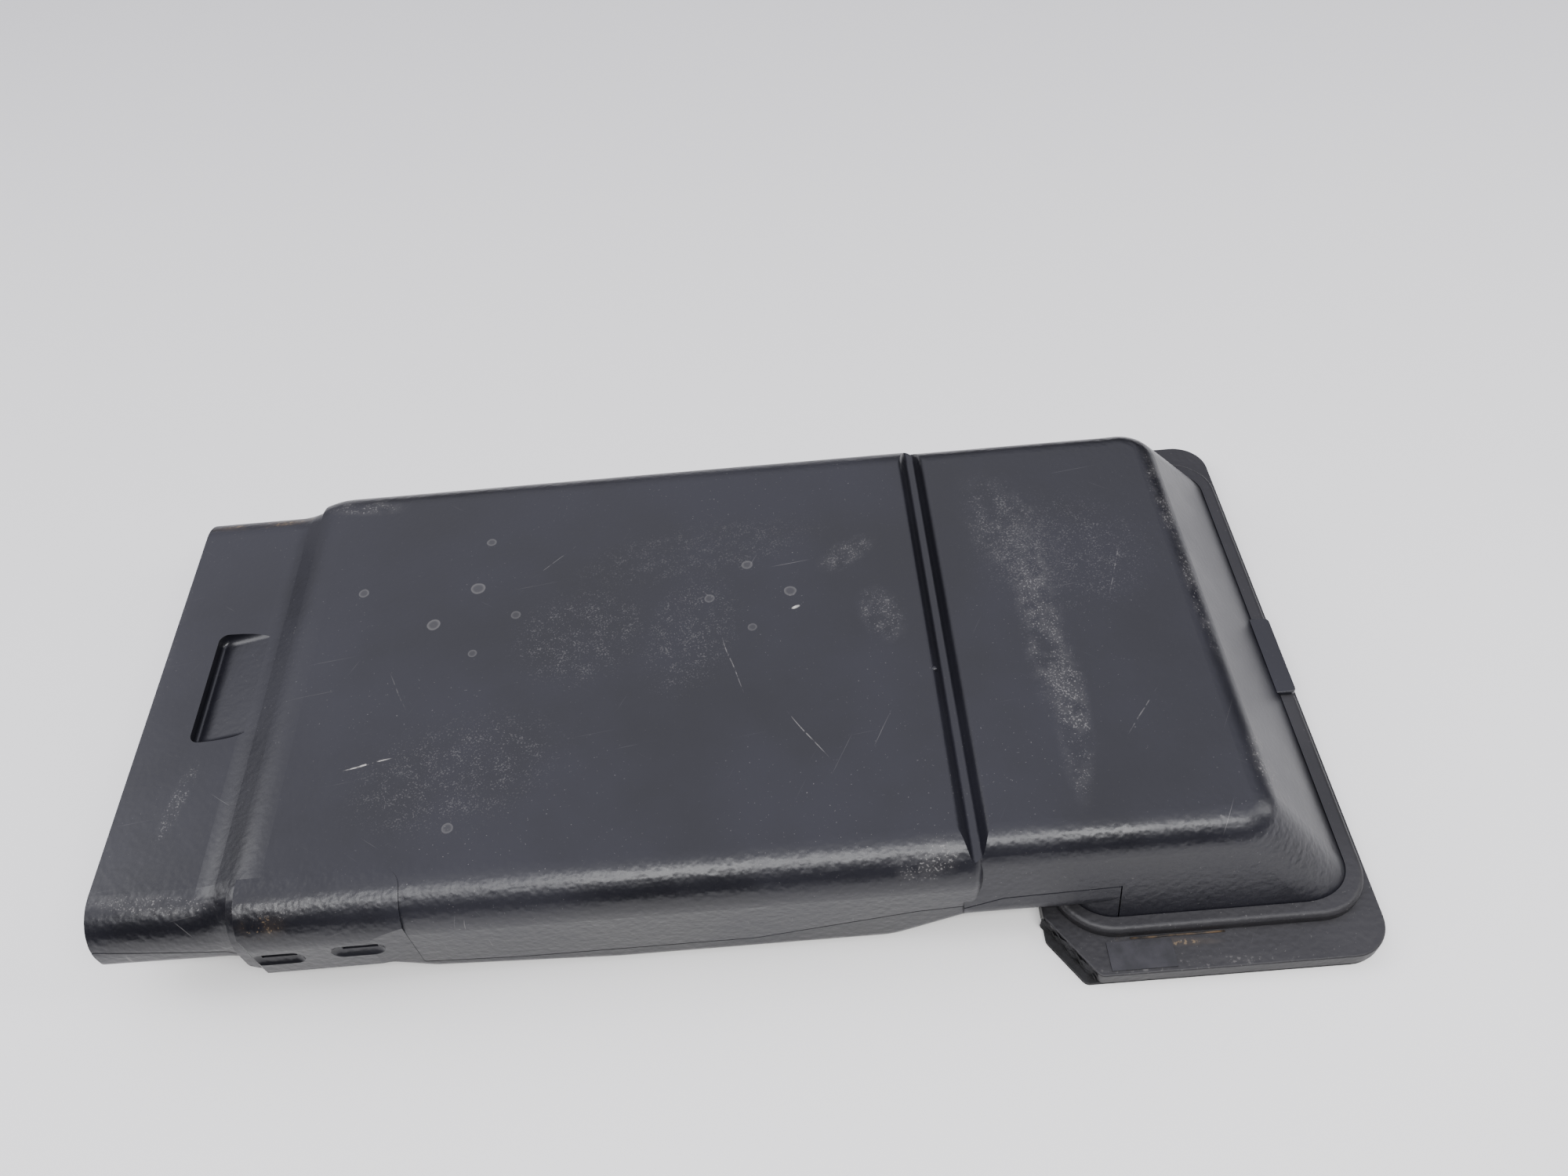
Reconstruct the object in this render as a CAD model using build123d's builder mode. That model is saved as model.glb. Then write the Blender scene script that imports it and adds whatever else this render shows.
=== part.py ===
"""Low battery box: two moulded shells with a flanged end bay, flat cell modules and their switchgear.

X runs along the box with the grip end at -X and the flanged end bay at +X, Z is up, and the origin
lies under the middle of the whole box, on the plane that the flange gasket and the tray stand on.
"""
import os
from math import radians, tan

from build123d import *

os.makedirs("parts", exist_ok=True)

# ---------------------------------------------------------------- driving sizes, mm
# Long chamber
nose_length = 80.6          # lowered grip end, from its end face to the foot of the ramp
nose_drop = 11.6            # the grip end's top lies this far below the main top
nose_side_step = 6.0        # the grip end is narrower than the chamber on each side
ramp_run = 30.4             # foot to crest of the ramp in the top
slab_length = 482.0         # crest of the ramp to the middle of the strap groove
slab_width = 400.0
box_height = 98.0           # underside of the tray to the main top
shoulder_radius = 31.0      # round between the top and the long side walls
floor_radius = 12.0         # round between the underside and the long side walls
wall = 3.6                  # moulded wall of both shells

# Underside of the long chamber
nose_floor = 38.0           # height of the underside under the grip end
shelf_floor = 20.0          # height of the shallow floor behind the ramp
shelf_length = 80.0
low_step = 9.5              # height where the shelf has dropped to the long tray floor
tray_start = 235.0          # crest of the ramp to the flat tray floor
arch_foot = 54.0            # tray floor ends this far before the strap groove
arch_roof = 28.0            # clear height of the tunnel under the chamber

# End bay
bay_length = 194.2          # middle of the strap groove to the rear edge of the top
bay_top_half = 188.0        # half width at the top, before the round
bay_draft = 14.0            # lean of its long side walls, degrees
rake = 40.5                 # lean of its end wall, degrees
bay_corner_radius = 32.0    # upright corners at the end wall
bay_top_radius = 24.0
bay_tunnel_wall = 63.0      # middle of the strap groove to the bay wall at the tunnel
tunnel_corner_radius = 34.0

# Flange
flange_half_width = 244.0
flange_thickness = 10.5
gasket_thickness = 3.5
collar_height = 9.0         # raised collar around the foot of the bay walls
collar_width = 8.5
flange_end_lip = 9.1        # flange beyond the foot of the end wall
flange_tunnel_lip = 15.0    # flange beyond the bay wall in the tunnel
flange_corner_radius = 27.0
flange_chamfer_x = 30.0
flange_chamfer_y = 45.0

# Strap groove, grip recess, side pad and latch dimples
groove_width = 17.0         # between the corners of the groove, before its rims are rounded
groove_floor_width = 6.0
groove_depth = 10.0
groove_rim_radius = 5.0
groove_floor_radius = 3.0
recess_length = 40.0
recess_width = 100.0
recess_depth = 9.0
recess_setback = 37.5       # end face to the steep wall of the grip recess
recess_off_centre = 5.0
pad_length = 109.0
pad_proud = 3.0             # side pad stands out from the side wall
pad_rise = 0.6              # and over the top
pad_taper = 26.0            # the pad runs out into the wall over this length
pad_reach = 34.0            # over the top, from the side wall inwards
dimple_radius = 10.0
dimple_depth = 3.6
dimple_length = 22.0
dimple_spacing = 56.0
dimple_height = 53.0
dimple_climb = 3.5          # the second dimple sits this much higher
slot_length = 24.0
slot_height = 5.0

recess_corner_radius = 7.0
nub_radius = 2.5            # moulding nub on the groove's edge
nub_off_centre = -41.0
nub_proud = 0.5

# Parting joint
seam_gap = 0.9
lip_height = 6.0
lip_thickness = 1.8
lip_clearance = 0.4
seal_clearance = 0.3
seal_outside = 1.3          # outer face of the wall to the seal
seal_inside = 3.0
fit_gap = 0.4               # collar to bay wall, latch to wall

# End latch on the collar and the two press latches behind the dimples
tab_length = 72.0
tab_off_centre = -4.0
tab_thickness = 3.6
tab_lip = 4.0
tab_lip_thickness = 2.0
tongue_thickness = 2.0
tongue_drop = 8.0           # tongue's foot below the middle of its button
tongue_height = 18.0
button_clearance = 0.8

# Cell modules: a stack of three over the deep tray, a stack of two over the shelf
module_length = 190.0       # along X
module_width = 340.0
module_thickness = 27.0
module_pad = 2.5            # foam between layers
module_corner = 8.0
stack_shift = 8.0           # stacks stand off centre to leave room for the busbars
stack_gap = 16.0            # between the two stacks
stack_end = 75.0            # strap groove to the end of the deep stack
terminal_spread = 60.0
terminal_block = (96.0, 10.0, 20.0)
stud_radius = 3.0
stud_length = 9.0
nut_across = 10.0
nut_height = 5.0
busbar_thickness = 3.0
busbar_width = 15.0
angle_leg = 18.0
angle_thickness = 2.0
stand_off = 0.3             # free gap between pieces that only lie near each other

# End plate and what is on it
end_plate_thickness = 3.0
mouth_margin = 12.0         # foot of the bay wall to the mouth in the flange
mouth_corner = 24.0
rebate = 8.0
mount_spacing_x = 110.0
mount_spacing_y = 300.0
mount_hole_radius = 4.5
power_bore_radius = 7.0
signal_bore_radius = 5.0
grommet_lip = 4.0
grommet_spacing = 44.0
plate_screw_radius = 1.7
plate_screw_head = 3.2
plate_screw_inset = 4.0

# Switchgear
deck_thickness = 2.0
deck_height = 34.0
deck_width = 330.0
deck_setback = 66.0         # strap groove back to the near end of the deck
deck_length = 127.0
spacer_radius = 5.0
deck_screw_radius = 2.0
contactor_size = (44.0, 60.0, 38.0)
fuse_base_size = (44.0, 92.0, 14.0)
fuse_radius = 11.0
shunt_base_size = (48.0, 26.0, 4.0)
board_size = (80.0, 160.0, 1.6)
board_height = 24.0
standoff_radius = 3.5

# ---------------------------------------------------------------- worked-out stations
rake_run = (box_height - gasket_thickness - flange_thickness) * tan(radians(rake))
overall_length = (nose_length + ramp_run + slab_length + bay_length + rake_run + flange_end_lip)
left_x = -overall_length / 2
foot_x = left_x + nose_length
crest_x = foot_x + ramp_run
groove_x = crest_x + slab_length
bay_top_x = groove_x + bay_length
bay_base_x = bay_top_x + rake_run
right_x = bay_base_x + flange_end_lip
tunnel_wall_x = groove_x + bay_tunnel_wall
slab_half = slab_width / 2
nose_top = box_height - nose_drop
flange_top = gasket_thickness + flange_thickness
collar_top = flange_top + collar_height
slab_end_x = groove_x + groove_width / 4
bay_start_x = groove_x - groove_width / 2
bay_foot_half = bay_top_half + (box_height - gasket_thickness - flange_thickness) * tan(radians(bay_draft))
split_x = tunnel_wall_x + tunnel_corner_radius

# Side view of the parting line, from the grip end to the end bay
seam_points = [
    (left_x, nose_top - 16),
    (foot_x + 8, nose_top - 34),
    (crest_x - 3, shelf_floor + floor_radius + 1),
    (crest_x + shelf_length + 4, shelf_floor + floor_radius + 2),
    (crest_x + shelf_length + 26, low_step + floor_radius + 4),
    (crest_x + shelf_length + 90, floor_radius + 9),
    (groove_x - 150, floor_radius + 9),
    (groove_x - 39, arch_roof + 14),
    (groove_x - 8, arch_roof + 16),
    (groove_x + 18, arch_roof + 23),
    (split_x, arch_roof + 25),
]


# ---------------------------------------------------------------- shared forms of the two shells
def rounded_outline(plane, corners, inset=0):
    """Closed outline through (x, y, radius) corners on a plane, moved inwards by the inset."""
    with BuildSketch(plane) as outline:
        with BuildLine():
            Polyline(*[(x, y) for x, y, radius in corners], close=True)
        make_face()
        for x, y, radius in corners:
            if radius:
                fillet(outline.vertices().sort_by_distance((x, y))[0], radius)
        if inset:
            offset(amount=-inset, kind=Kind.INTERSECTION)
    return outline.sketch


def side_outline(inset):
    """Side view of the long chamber, moved inwards by the inset."""
    corners = [
        (left_x, nose_top, 0),
        (foot_x, nose_top, 40),
        (crest_x, box_height, 60),
        (slab_end_x, box_height, 0),
        (slab_end_x, arch_roof, 0),
        (groove_x - arch_foot, 0, 40),
        (crest_x + tray_start, 0, 60),
        (crest_x + shelf_length + 28, low_step, 20),
        (crest_x + shelf_length, shelf_floor, 14),
        (crest_x - 2, shelf_floor, 14),
        (crest_x - 22, nose_floor - 2, 14),
        (left_x, nose_floor, 0),
    ]
    return rounded_outline(Plane.XZ, corners, inset)


def chamber_prism(inset, half_width, start_x):
    """Stretch of the long chamber beyond start_x, with its shoulders and floor edges rounded."""
    with BuildPart() as prism:
        extrude(side_outline(inset), amount=half_width - inset, both=True)
        split(bisect_by=Plane.YZ.offset(start_x), keep=Keep.TOP)
        on_side = prism.edges().filter_by(lambda edge: abs(abs(edge.center().Y) - half_width + inset) < 0.01)
        lengthwise = on_side.filter_by(Axis.Z, reverse=True)
        fillet(lengthwise.filter_by(lambda edge: edge.center().Z > box_height / 2 + 10), shoulder_radius - inset)
        on_side = prism.edges().filter_by(lambda edge: abs(abs(edge.center().Y) - half_width + inset) < 0.01)
        lengthwise = on_side.filter_by(Axis.Z, reverse=True)
        low = lengthwise.filter_by(lambda edge: edge.center().Z < box_height / 2)
        fillet(low, floor_radius - inset)
    return prism.part


def long_chamber(inset):
    """The long chamber and its narrower grip end as one solid, moved inwards by the inset."""
    with BuildPart() as chamber:
        add(chamber_prism(inset, slab_half, crest_x - 12))
        ends = chamber.edges().filter_by(lambda edge: abs(edge.center().Y) > slab_half / 2)
        at_bay = ends.filter_by_position(Axis.X, slab_end_x - inset - 0.01, slab_end_x - inset + 0.01)
        fillet(at_bay.filter_by(lambda edge: edge.center().Z > arch_roof + floor_radius + 1), 8 - inset / 2)
        add(chamber_prism(inset, slab_half - nose_side_step, left_x + inset))
    return chamber.part


def end_bay(inset, foot_z):
    """The end bay as a solid down to foot_z, moved inwards by the inset; its mouth is open."""
    deep = -60
    corners = [
        (bay_start_x, box_height, 0),
        (bay_top_x, box_height, 0),
        (bay_top_x + (box_height - deep) * tan(radians(rake)), deep, 0),
        (tunnel_wall_x, deep, 0),
        (tunnel_wall_x, arch_roof, 0),
        (bay_start_x, arch_roof, 0),
    ]
    lean = (box_height - deep) * tan(radians(bay_draft))
    section = [
        (-bay_top_half, box_height, 0),
        (bay_top_half, box_height, 0),
        (bay_top_half + lean, deep, 0),
        (-bay_top_half - lean, deep, 0),
    ]
    with BuildPart() as bay:
        extrude(rounded_outline(Plane.XZ, corners, inset), amount=slab_width, both=True)
        extrude(rounded_outline(Plane.YZ, section, inset), amount=overall_length, both=True,
                mode=Mode.INTERSECT)
        upright = bay.edges().filter_by(lambda edge: abs((edge % 0.5).Z) > 0.6)
        fillet(upright.filter_by(lambda edge: edge.center().X > bay_top_x), bay_corner_radius - inset)
        low = upright.filter_by(lambda edge: edge.center().Z < arch_roof)
        fillet(low.filter_by(lambda edge: edge.center().X < bay_top_x), tunnel_corner_radius - inset)
        roof = bay.edges().filter_by(Axis.X).filter_by_position(
            Axis.Z, arch_roof + inset - 0.01, arch_roof + inset + 0.01)
        fillet(roof, floor_radius - inset)
        rim = bay.edges().filter_by_position(Axis.Z, box_height - inset - 0.01, box_height - inset + 0.01)
        fillet(rim.filter_by(lambda edge: edge.center().X > bay_start_x + 5 + inset), bay_top_radius - inset)
        split(bisect_by=Plane.XY.offset(foot_z), keep=Keep.TOP)
    return bay.part


def strap_groove(growth):
    """Cutter for the strap groove, made larger all round by the growth."""
    side = 30
    corners = [
        (groove_x - groove_width / 2 - side, box_height + side, 0),
        (groove_x - groove_width / 2 - side, box_height, 0),
        (groove_x - groove_width / 2, box_height, groove_rim_radius),
        (groove_x - groove_floor_width / 2, box_height - groove_depth, groove_floor_radius),
        (groove_x + groove_floor_width / 2, box_height - groove_depth, groove_floor_radius),
        (groove_x + groove_width / 2, box_height, groove_rim_radius),
        (groove_x + groove_width / 2 + side, box_height, 0),
        (groove_x + groove_width / 2 + side, box_height + side, 0),
    ]
    with BuildPart() as cutter:
        extrude(rounded_outline(Plane.XZ, corners, -growth), amount=slab_width, both=True)
    return cutter.part


def grip_recess(growth):
    """Cutter for the wedge-shaped finger recess in the grip end, made larger by the growth."""
    start = left_x + recess_setback
    corners = [
        (start, box_height, 0),
        (start, nose_top - recess_depth, 2.5),
        (start + recess_length, nose_top, 0),
        (start + recess_length, box_height, 0),
    ]
    with BuildPart() as cutter:
        extrude(rounded_outline(Plane.XZ.offset(-recess_off_centre), corners, -growth),
                amount=recess_width / 2 + growth, both=True)
        fillet(cutter.edges().filter_by(Axis.Z).filter_by_position(Axis.X, start - growth - 1, start + 1),
               recess_corner_radius + growth)
    return cutter.part


def box_form(inset, foot_z):
    """The whole closed box as a solid, moved inwards by the inset, with its top features."""
    with BuildPart() as form:
        add(long_chamber(inset))
        add(end_bay(inset, foot_z))
        add(strap_groove(inset), mode=Mode.SUBTRACT)
        add(grip_recess(inset), mode=Mode.SUBTRACT)
    return form.part


def seam_height(x):
    """Height of the parting line at a place along the box."""
    for (before_x, before_z), (after_x, after_z) in zip(seam_points, seam_points[1:]):
        if x <= after_x:
            return before_z + (after_z - before_z) * (x - before_x) / (after_x - before_x)
    return seam_points[-1][1]


def seam_region(shift, end_x, closing):
    """Block on one side of the parting line, shifted in height, up to end_x, closed by more points."""
    bend = 12
    line = [(x, z + shift, bend) for x, z in seam_points[1:-1] if x < end_x - bend / 2]
    start = (left_x - 50, seam_points[0][1] + shift, 0)
    end = (end_x, seam_height(end_x) + shift, 0)
    with BuildPart() as region:
        extrude(rounded_outline(Plane.XZ, [start, *line, end, *closing]), amount=flange_half_width, both=True)
    return region.part


def stack_origin(index):
    """Middle of the deep stack (0) or of the shelf stack (1), in X."""
    return groove_x - stack_end - module_length / 2 - index * (module_length + stack_gap)


def finish(builder, name):
    """Label a finished piece and write it to its own file."""
    builder.part.label = name
    export_step(builder.part, f"parts/{name}.step")


# ---------------------------------------------------------------- the two shells
below_flange = flange_top - 4 * wall
outer_form = box_form(0, flange_top)
inner_form = box_form(wall, below_flange)
rim_inset = wall + lip_clearance
lip_inset = rim_inset + lip_thickness
lip_outer_form = long_chamber(rim_inset)
lip_inner_form = long_chamber(lip_inset)

upper_side = seam_region(0, split_x, [
    (split_x, flange_top + stand_off, 0),
    (right_x + 50, flange_top + stand_off, 0),
    (right_x + 50, box_height + 50, 0),
    (left_x - 50, box_height + 50, 0),
])
lower_side = seam_region(-seam_gap, split_x - seam_gap, [
    (split_x - seam_gap, -50, 0),
    (left_x - 50, -50, 0),
])
pad_start_x = crest_x - 5
dimple_x = [crest_x + 13 + step * dimple_spacing for step in range(2)]
dimple_z = [dimple_height + step * dimple_climb for step in range(2)]
pad_face_y = -slab_half - pad_proud

with BuildPart() as side_pad:
    pad_section = [
        (-pad_face_y, shelf_floor + 3, 4),
        (-pad_face_y, box_height + pad_rise, shoulder_radius + pad_proud),
        (slab_half - pad_reach, box_height + pad_rise, 0),
        (slab_half - pad_reach, shelf_floor + 3, 0),
    ]
    with BuildSketch(Plane.YZ.offset(pad_start_x)) as pad_sketch:
        with BuildLine():
            Polyline(*[(-y, z) for y, z, radius in pad_section], close=True)
        make_face()
        for y, z, radius in pad_section[:2]:
            fillet(pad_sketch.vertices().sort_by_distance((-y, z))[0], radius)
    extrude(amount=pad_length)
    with BuildSketch(Plane.XY) as pad_plan:
        with BuildLine():
            Polyline(
                (pad_start_x, -slab_half + pad_reach),
                (pad_start_x + pad_length, -slab_half + pad_reach),
                (pad_start_x + pad_length, -slab_half - 0.2),
                (pad_start_x + pad_length - pad_taper, pad_face_y),
                (pad_start_x + 4, pad_face_y),
                (pad_start_x, -slab_half),
                close=True,
            )
        make_face()
        fillet(pad_plan.vertices().sort_by_distance((pad_start_x + pad_length, -slab_half + pad_reach))[0], 14)
    extrude(amount=box_height * 2, mode=Mode.INTERSECT)

with BuildPart() as upper_shell:
    add(outer_form)
    add(side_pad.part)
    add(inner_form, mode=Mode.SUBTRACT)
    add(upper_side, mode=Mode.INTERSECT)
    for centre_x, centre_z in zip(dimple_x, dimple_z):
        dish_y = pad_face_y - dimple_radius + dimple_depth
        with Locations((centre_x, dish_y, centre_z)):
            Cylinder(dimple_radius, dimple_length, rotation=(0, 90, 0), mode=Mode.SUBTRACT)
        with Locations((centre_x - dimple_length / 2, dish_y, centre_z),
                       (centre_x + dimple_length / 2, dish_y, centre_z)):
            Sphere(dimple_radius, mode=Mode.SUBTRACT)
        with Locations((centre_x, pad_face_y, centre_z)):
            Box(slot_length, 4 * wall, slot_height, mode=Mode.SUBTRACT)
    with Locations((groove_x - groove_width / 2, nub_off_centre, box_height + nub_proud - nub_radius)):
        Sphere(nub_radius)
finish(upper_shell, "upper_shell")

# The lower shell's rim carries a lip that stands up inside the upper shell
lip_end_x = slab_end_x - lip_inset - 12
lip_closing = [(lip_end_x, -50, 0), (left_x - 50, -50, 0)]
with BuildPart() as lip:
    add(lip_outer_form)
    add(lip_inner_form, mode=Mode.SUBTRACT)
    add(seam_region(lip_height, lip_end_x, lip_closing), mode=Mode.INTERSECT)
    add(seam_region(-lip_height, lip_end_x, lip_closing), mode=Mode.SUBTRACT)
with BuildPart() as lip_root:
    add(long_chamber(wall))
    add(lip_inner_form, mode=Mode.SUBTRACT)
    add(seam_region(-seam_gap, lip_end_x, lip_closing), mode=Mode.INTERSECT)
    add(seam_region(-lip_height, lip_end_x, lip_closing), mode=Mode.SUBTRACT)

with BuildPart() as lower_shell:
    add(outer_form)
    add(inner_form, mode=Mode.SUBTRACT)
    add(lower_side, mode=Mode.INTERSECT)
    add(lip_root.part)
    add(lip.part)
finish(lower_shell, "lower_shell")

with BuildPart() as seam_gasket:
    add(long_chamber(seal_outside))
    add(long_chamber(seal_inside), mode=Mode.SUBTRACT)
    add(seam_region(-seal_clearance, lip_end_x, lip_closing), mode=Mode.INTERSECT)
    add(seam_region(-seam_gap, lip_end_x, lip_closing), mode=Mode.SUBTRACT)
finish(seam_gasket, "seam_gasket")


# ---------------------------------------------------------------- flange, its gasket and the end plate
def flange_outline(growth, chamfer_share=1.0):
    """Corners of the flange seen from above: two chamfers in the tunnel, two rounds at the end."""
    start = tunnel_wall_x - flange_tunnel_lip - growth
    half = flange_half_width + growth
    run_x = flange_chamfer_x * chamfer_share
    run_y = flange_chamfer_y * chamfer_share
    corners = []
    for side in (-1, 1):
        edge = [
            (start, side * (half - run_y), 6),
            (start + run_x, side * half, 6),
            (right_x + growth, side * half, flange_corner_radius),
        ]
        corners += edge if side < 0 else edge[::-1]
    return corners


def mouth_outline(growth):
    """Corners of the mouth through the flange, seen from above."""
    start = tunnel_wall_x + mouth_margin - growth
    end = bay_base_x - mouth_margin + growth
    half = bay_foot_half - mouth_margin + growth
    radius = mouth_corner + growth
    return [(start, -half, radius), (end, -half, radius), (end, half, radius), (start, half, radius)]


plate_top = gasket_thickness + end_plate_thickness
mouth_middle_x = (tunnel_wall_x + bay_base_x) / 2
screw_run_x = bay_base_x - tunnel_wall_x - 2 * mouth_margin + 2 * plate_screw_inset
screw_run_y = 2 * (bay_foot_half - mouth_margin + plate_screw_inset)
screw_places = [(mouth_middle_x + side * screw_run_x / 2, step * screw_run_y / 3, gasket_thickness)
                for side in (-1, 1) for step in (-1, 0, 1)]
screw_places += [(mouth_middle_x + step * screw_run_x / 4, side * screw_run_y / 2, gasket_thickness)
                 for side in (-1, 1) for step in (-1, 1)]
upwards = (Align.CENTER, Align.CENTER, Align.MIN)

collar_end_x = bay_base_x + flange_end_lip / 2
collar_start_x = tunnel_wall_x - collar_width
collar_half = bay_foot_half + collar_width
tab_bottom = collar_top + fit_gap
tab_inner_x = bay_base_x - (collar_height + fit_gap) * tan(radians(rake)) + fit_gap + stand_off
with BuildPart() as mounting_flange:
    extrude(rounded_outline(Plane.XY.offset(gasket_thickness), flange_outline(0)), amount=flange_thickness)
    fillet(mounting_flange.faces().sort_by(Axis.Z)[-1].edges(), 1.2)
    collar = [
        (collar_start_x, -collar_half, tunnel_corner_radius + collar_width),
        (collar_end_x, -collar_half, bay_corner_radius + collar_width / 2),
        (collar_end_x, collar_half, bay_corner_radius + collar_width / 2),
        (collar_start_x, collar_half, tunnel_corner_radius + collar_width),
    ]
    extrude(rounded_outline(Plane.XY.offset(flange_top - 1), collar), amount=collar_height + 1)
    fillet(mounting_flange.faces().sort_by(Axis.Z)[-1].edges(), 4)
    add(end_bay(-fit_gap, flange_top), mode=Mode.SUBTRACT)
    extrude(rounded_outline(Plane.XY, mouth_outline(0)), amount=box_height, mode=Mode.SUBTRACT)
    extrude(rounded_outline(Plane.XY.offset(gasket_thickness), mouth_outline(rebate)),
            amount=end_plate_thickness, mode=Mode.SUBTRACT)
    with Locations((collar_end_x, tab_off_centre, collar_top)):
        Box(2 * (tab_lip_thickness + fit_gap), tab_length + 2 * fit_gap, 2 * tab_lip, mode=Mode.SUBTRACT)
    with Locations(*screw_places):
        Cylinder(plate_screw_radius, flange_thickness - 1, align=upwards, mode=Mode.SUBTRACT)
finish(mounting_flange, "mounting_flange")

with BuildPart() as flange_gasket:
    extrude(rounded_outline(Plane.XY, flange_outline(-0.5, 0.7)), amount=gasket_thickness)
    extrude(rounded_outline(Plane.XY, mouth_outline(rebate + 1)), amount=gasket_thickness, mode=Mode.SUBTRACT)
finish(flange_gasket, "flange_gasket")

# A lap of sealing tape lies over the flange beside its chamfered corner
tape_length = 44.0
tape_width = 20.0
tape_thickness = 0.8
tape_start_x = tunnel_wall_x - flange_tunnel_lip + flange_chamfer_x + 8
with BuildPart() as edge_tape:
    with Locations((tape_start_x + tape_length / 2, -flange_half_width + tape_width / 2 + 3, flange_top)):
        Box(tape_length, tape_width, tape_thickness, align=upwards)
finish(edge_tape, "edge_tape")

bore_x = bay_base_x - mouth_margin - 40
grommets = {
    "power_grommet_1": (-grommet_spacing, power_bore_radius),
    "power_grommet_2": (0, power_bore_radius),
    "signal_grommet": (grommet_spacing, signal_bore_radius),
}
vent_y = 2 * grommet_spacing
vent_radius = 5.0
grommet_neck = 2.0
grommet_rim = 1.5
grommet_sleeve = 14.0
mount_x = mouth_middle_x - mouth_margin
with BuildPart() as end_plate:
    extrude(rounded_outline(Plane.XY.offset(gasket_thickness), mouth_outline(rebate - fit_gap)),
            amount=end_plate_thickness)
    with Locations((mount_x, 0, gasket_thickness)):
        with GridLocations(mount_spacing_x, mount_spacing_y, 2, 2):
            Cylinder(mount_hole_radius, 4 * end_plate_thickness, mode=Mode.SUBTRACT)
    for place_y, bore in grommets.values():
        with Locations((bore_x, place_y, gasket_thickness)):
            Cylinder(bore + grommet_neck, 4 * end_plate_thickness, mode=Mode.SUBTRACT)
    with Locations((bore_x, vent_y, gasket_thickness)):
        Cylinder(vent_radius, 4 * end_plate_thickness, mode=Mode.SUBTRACT)
    with Locations(*screw_places):
        Cylinder(plate_screw_radius, 4 * end_plate_thickness, mode=Mode.SUBTRACT)
        Cone(plate_screw_head, plate_screw_radius, 2, align=upwards, mode=Mode.SUBTRACT)
finish(end_plate, "end_plate")

with BuildPart() as plate_screws:
    with Locations(*screw_places):
        Cone(plate_screw_head - 0.05, plate_screw_radius - 0.05, 2, align=upwards)
        Cylinder(plate_screw_radius - 0.05, flange_thickness - 2, align=upwards)
finish(plate_screws, "plate_screws")

for name, (place_y, bore) in grommets.items():
    with BuildPart() as grommet:
        with Locations((bore_x, place_y, gasket_thickness - grommet_rim)):
            Cylinder(bore + grommet_lip, grommet_rim, align=upwards)
        with Locations((bore_x, place_y, gasket_thickness)):
            Cylinder(bore + grommet_neck - 0.05, end_plate_thickness, align=upwards)
        with Locations((bore_x, place_y, plate_top)):
            Cylinder(bore + grommet_lip, grommet_lip / 2, align=upwards)
            Cone(bore + grommet_neck + 0.6, bore + grommet_neck, grommet_sleeve, align=upwards)
        with Locations((bore_x, place_y, gasket_thickness)):
            Cylinder(bore, box_height, mode=Mode.SUBTRACT)
        fillet(grommet.faces().sort_by(Axis.Z)[0].outer_wire().edges(), 0.8)
    finish(grommet, name)

with BuildPart() as breather_vent:
    with Locations((bore_x, vent_y, gasket_thickness - 1.5)):
        Cylinder(vent_radius + 3, 1.5, align=upwards)
    with Locations((bore_x, vent_y, gasket_thickness)):
        Cylinder(vent_radius - 0.1, end_plate_thickness, align=upwards)
    with Locations((bore_x, vent_y, plate_top)):
        Cylinder(vent_radius + 3, 4, align=upwards)
    fillet(breather_vent.faces().sort_by(Axis.Z)[-1].edges(), 1.5)
finish(breather_vent, "breather_vent")


# ---------------------------------------------------------------- cell modules and their fittings
def layer_z(layer):
    """Underside of a layer of modules; layer 0 lies on the pad on the tray floor."""
    return wall + module_pad + layer * (module_thickness + module_pad)


module_y = -stack_shift
far_face_y = module_y + module_width / 2
near_face_y = module_y - module_width / 2
modules = [(0, 0), (0, 1), (0, 2), (1, 1), (1, 2)]
for number, (stack, layer) in enumerate(modules, start=1):
    middle_x = stack_origin(stack)
    with BuildPart() as cell_module:
        with Locations((middle_x, module_y, layer_z(layer))):
            Box(module_length, module_width, module_thickness, align=upwards)
        fillet(cell_module.edges().filter_by(Axis.Z), module_corner)
        for face in (cell_module.faces().sort_by(Axis.Z)[-1], cell_module.faces().sort_by(Axis.Z)[0]):
            fillet(face.edges(), 1.5)
    finish(cell_module, f"cell_module_{number}")
    with BuildPart() as block:
        with Locations((middle_x, far_face_y, layer_z(layer) + module_thickness / 2)):
            Box(terminal_block[0], terminal_block[1], terminal_block[2],
                align=(Align.CENTER, Align.MIN, Align.CENTER))
        fillet(block.edges().filter_by(Axis.Y), 2)
    finish(block, f"terminal_block_{number}")

stud_face_y = far_face_y + terminal_block[1]
stud_places = [(stack_origin(stack) + side * terminal_spread / 2, layer_z(layer) + module_thickness / 2)
               for stack, layer in modules for side in (-1, 1)]
with BuildPart() as terminal_studs:
    with Locations(*[(x, stud_face_y, z) for x, z in stud_places]):
        Cylinder(stud_radius, stud_length, rotation=(-90, 0, 0), align=upwards)
finish(terminal_studs, "terminal_studs")

with BuildPart() as terminal_nuts:
    with BuildSketch(Plane.XZ.offset(-stud_face_y - busbar_thickness)) as nut_sketch:
        with Locations(*stud_places):
            RegularPolygon(nut_across / 2, 6, major_radius=False)
            Circle(stud_radius + 0.05, mode=Mode.SUBTRACT)
    extrude(amount=-nut_height)
finish(terminal_nuts, "terminal_nuts")

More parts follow.
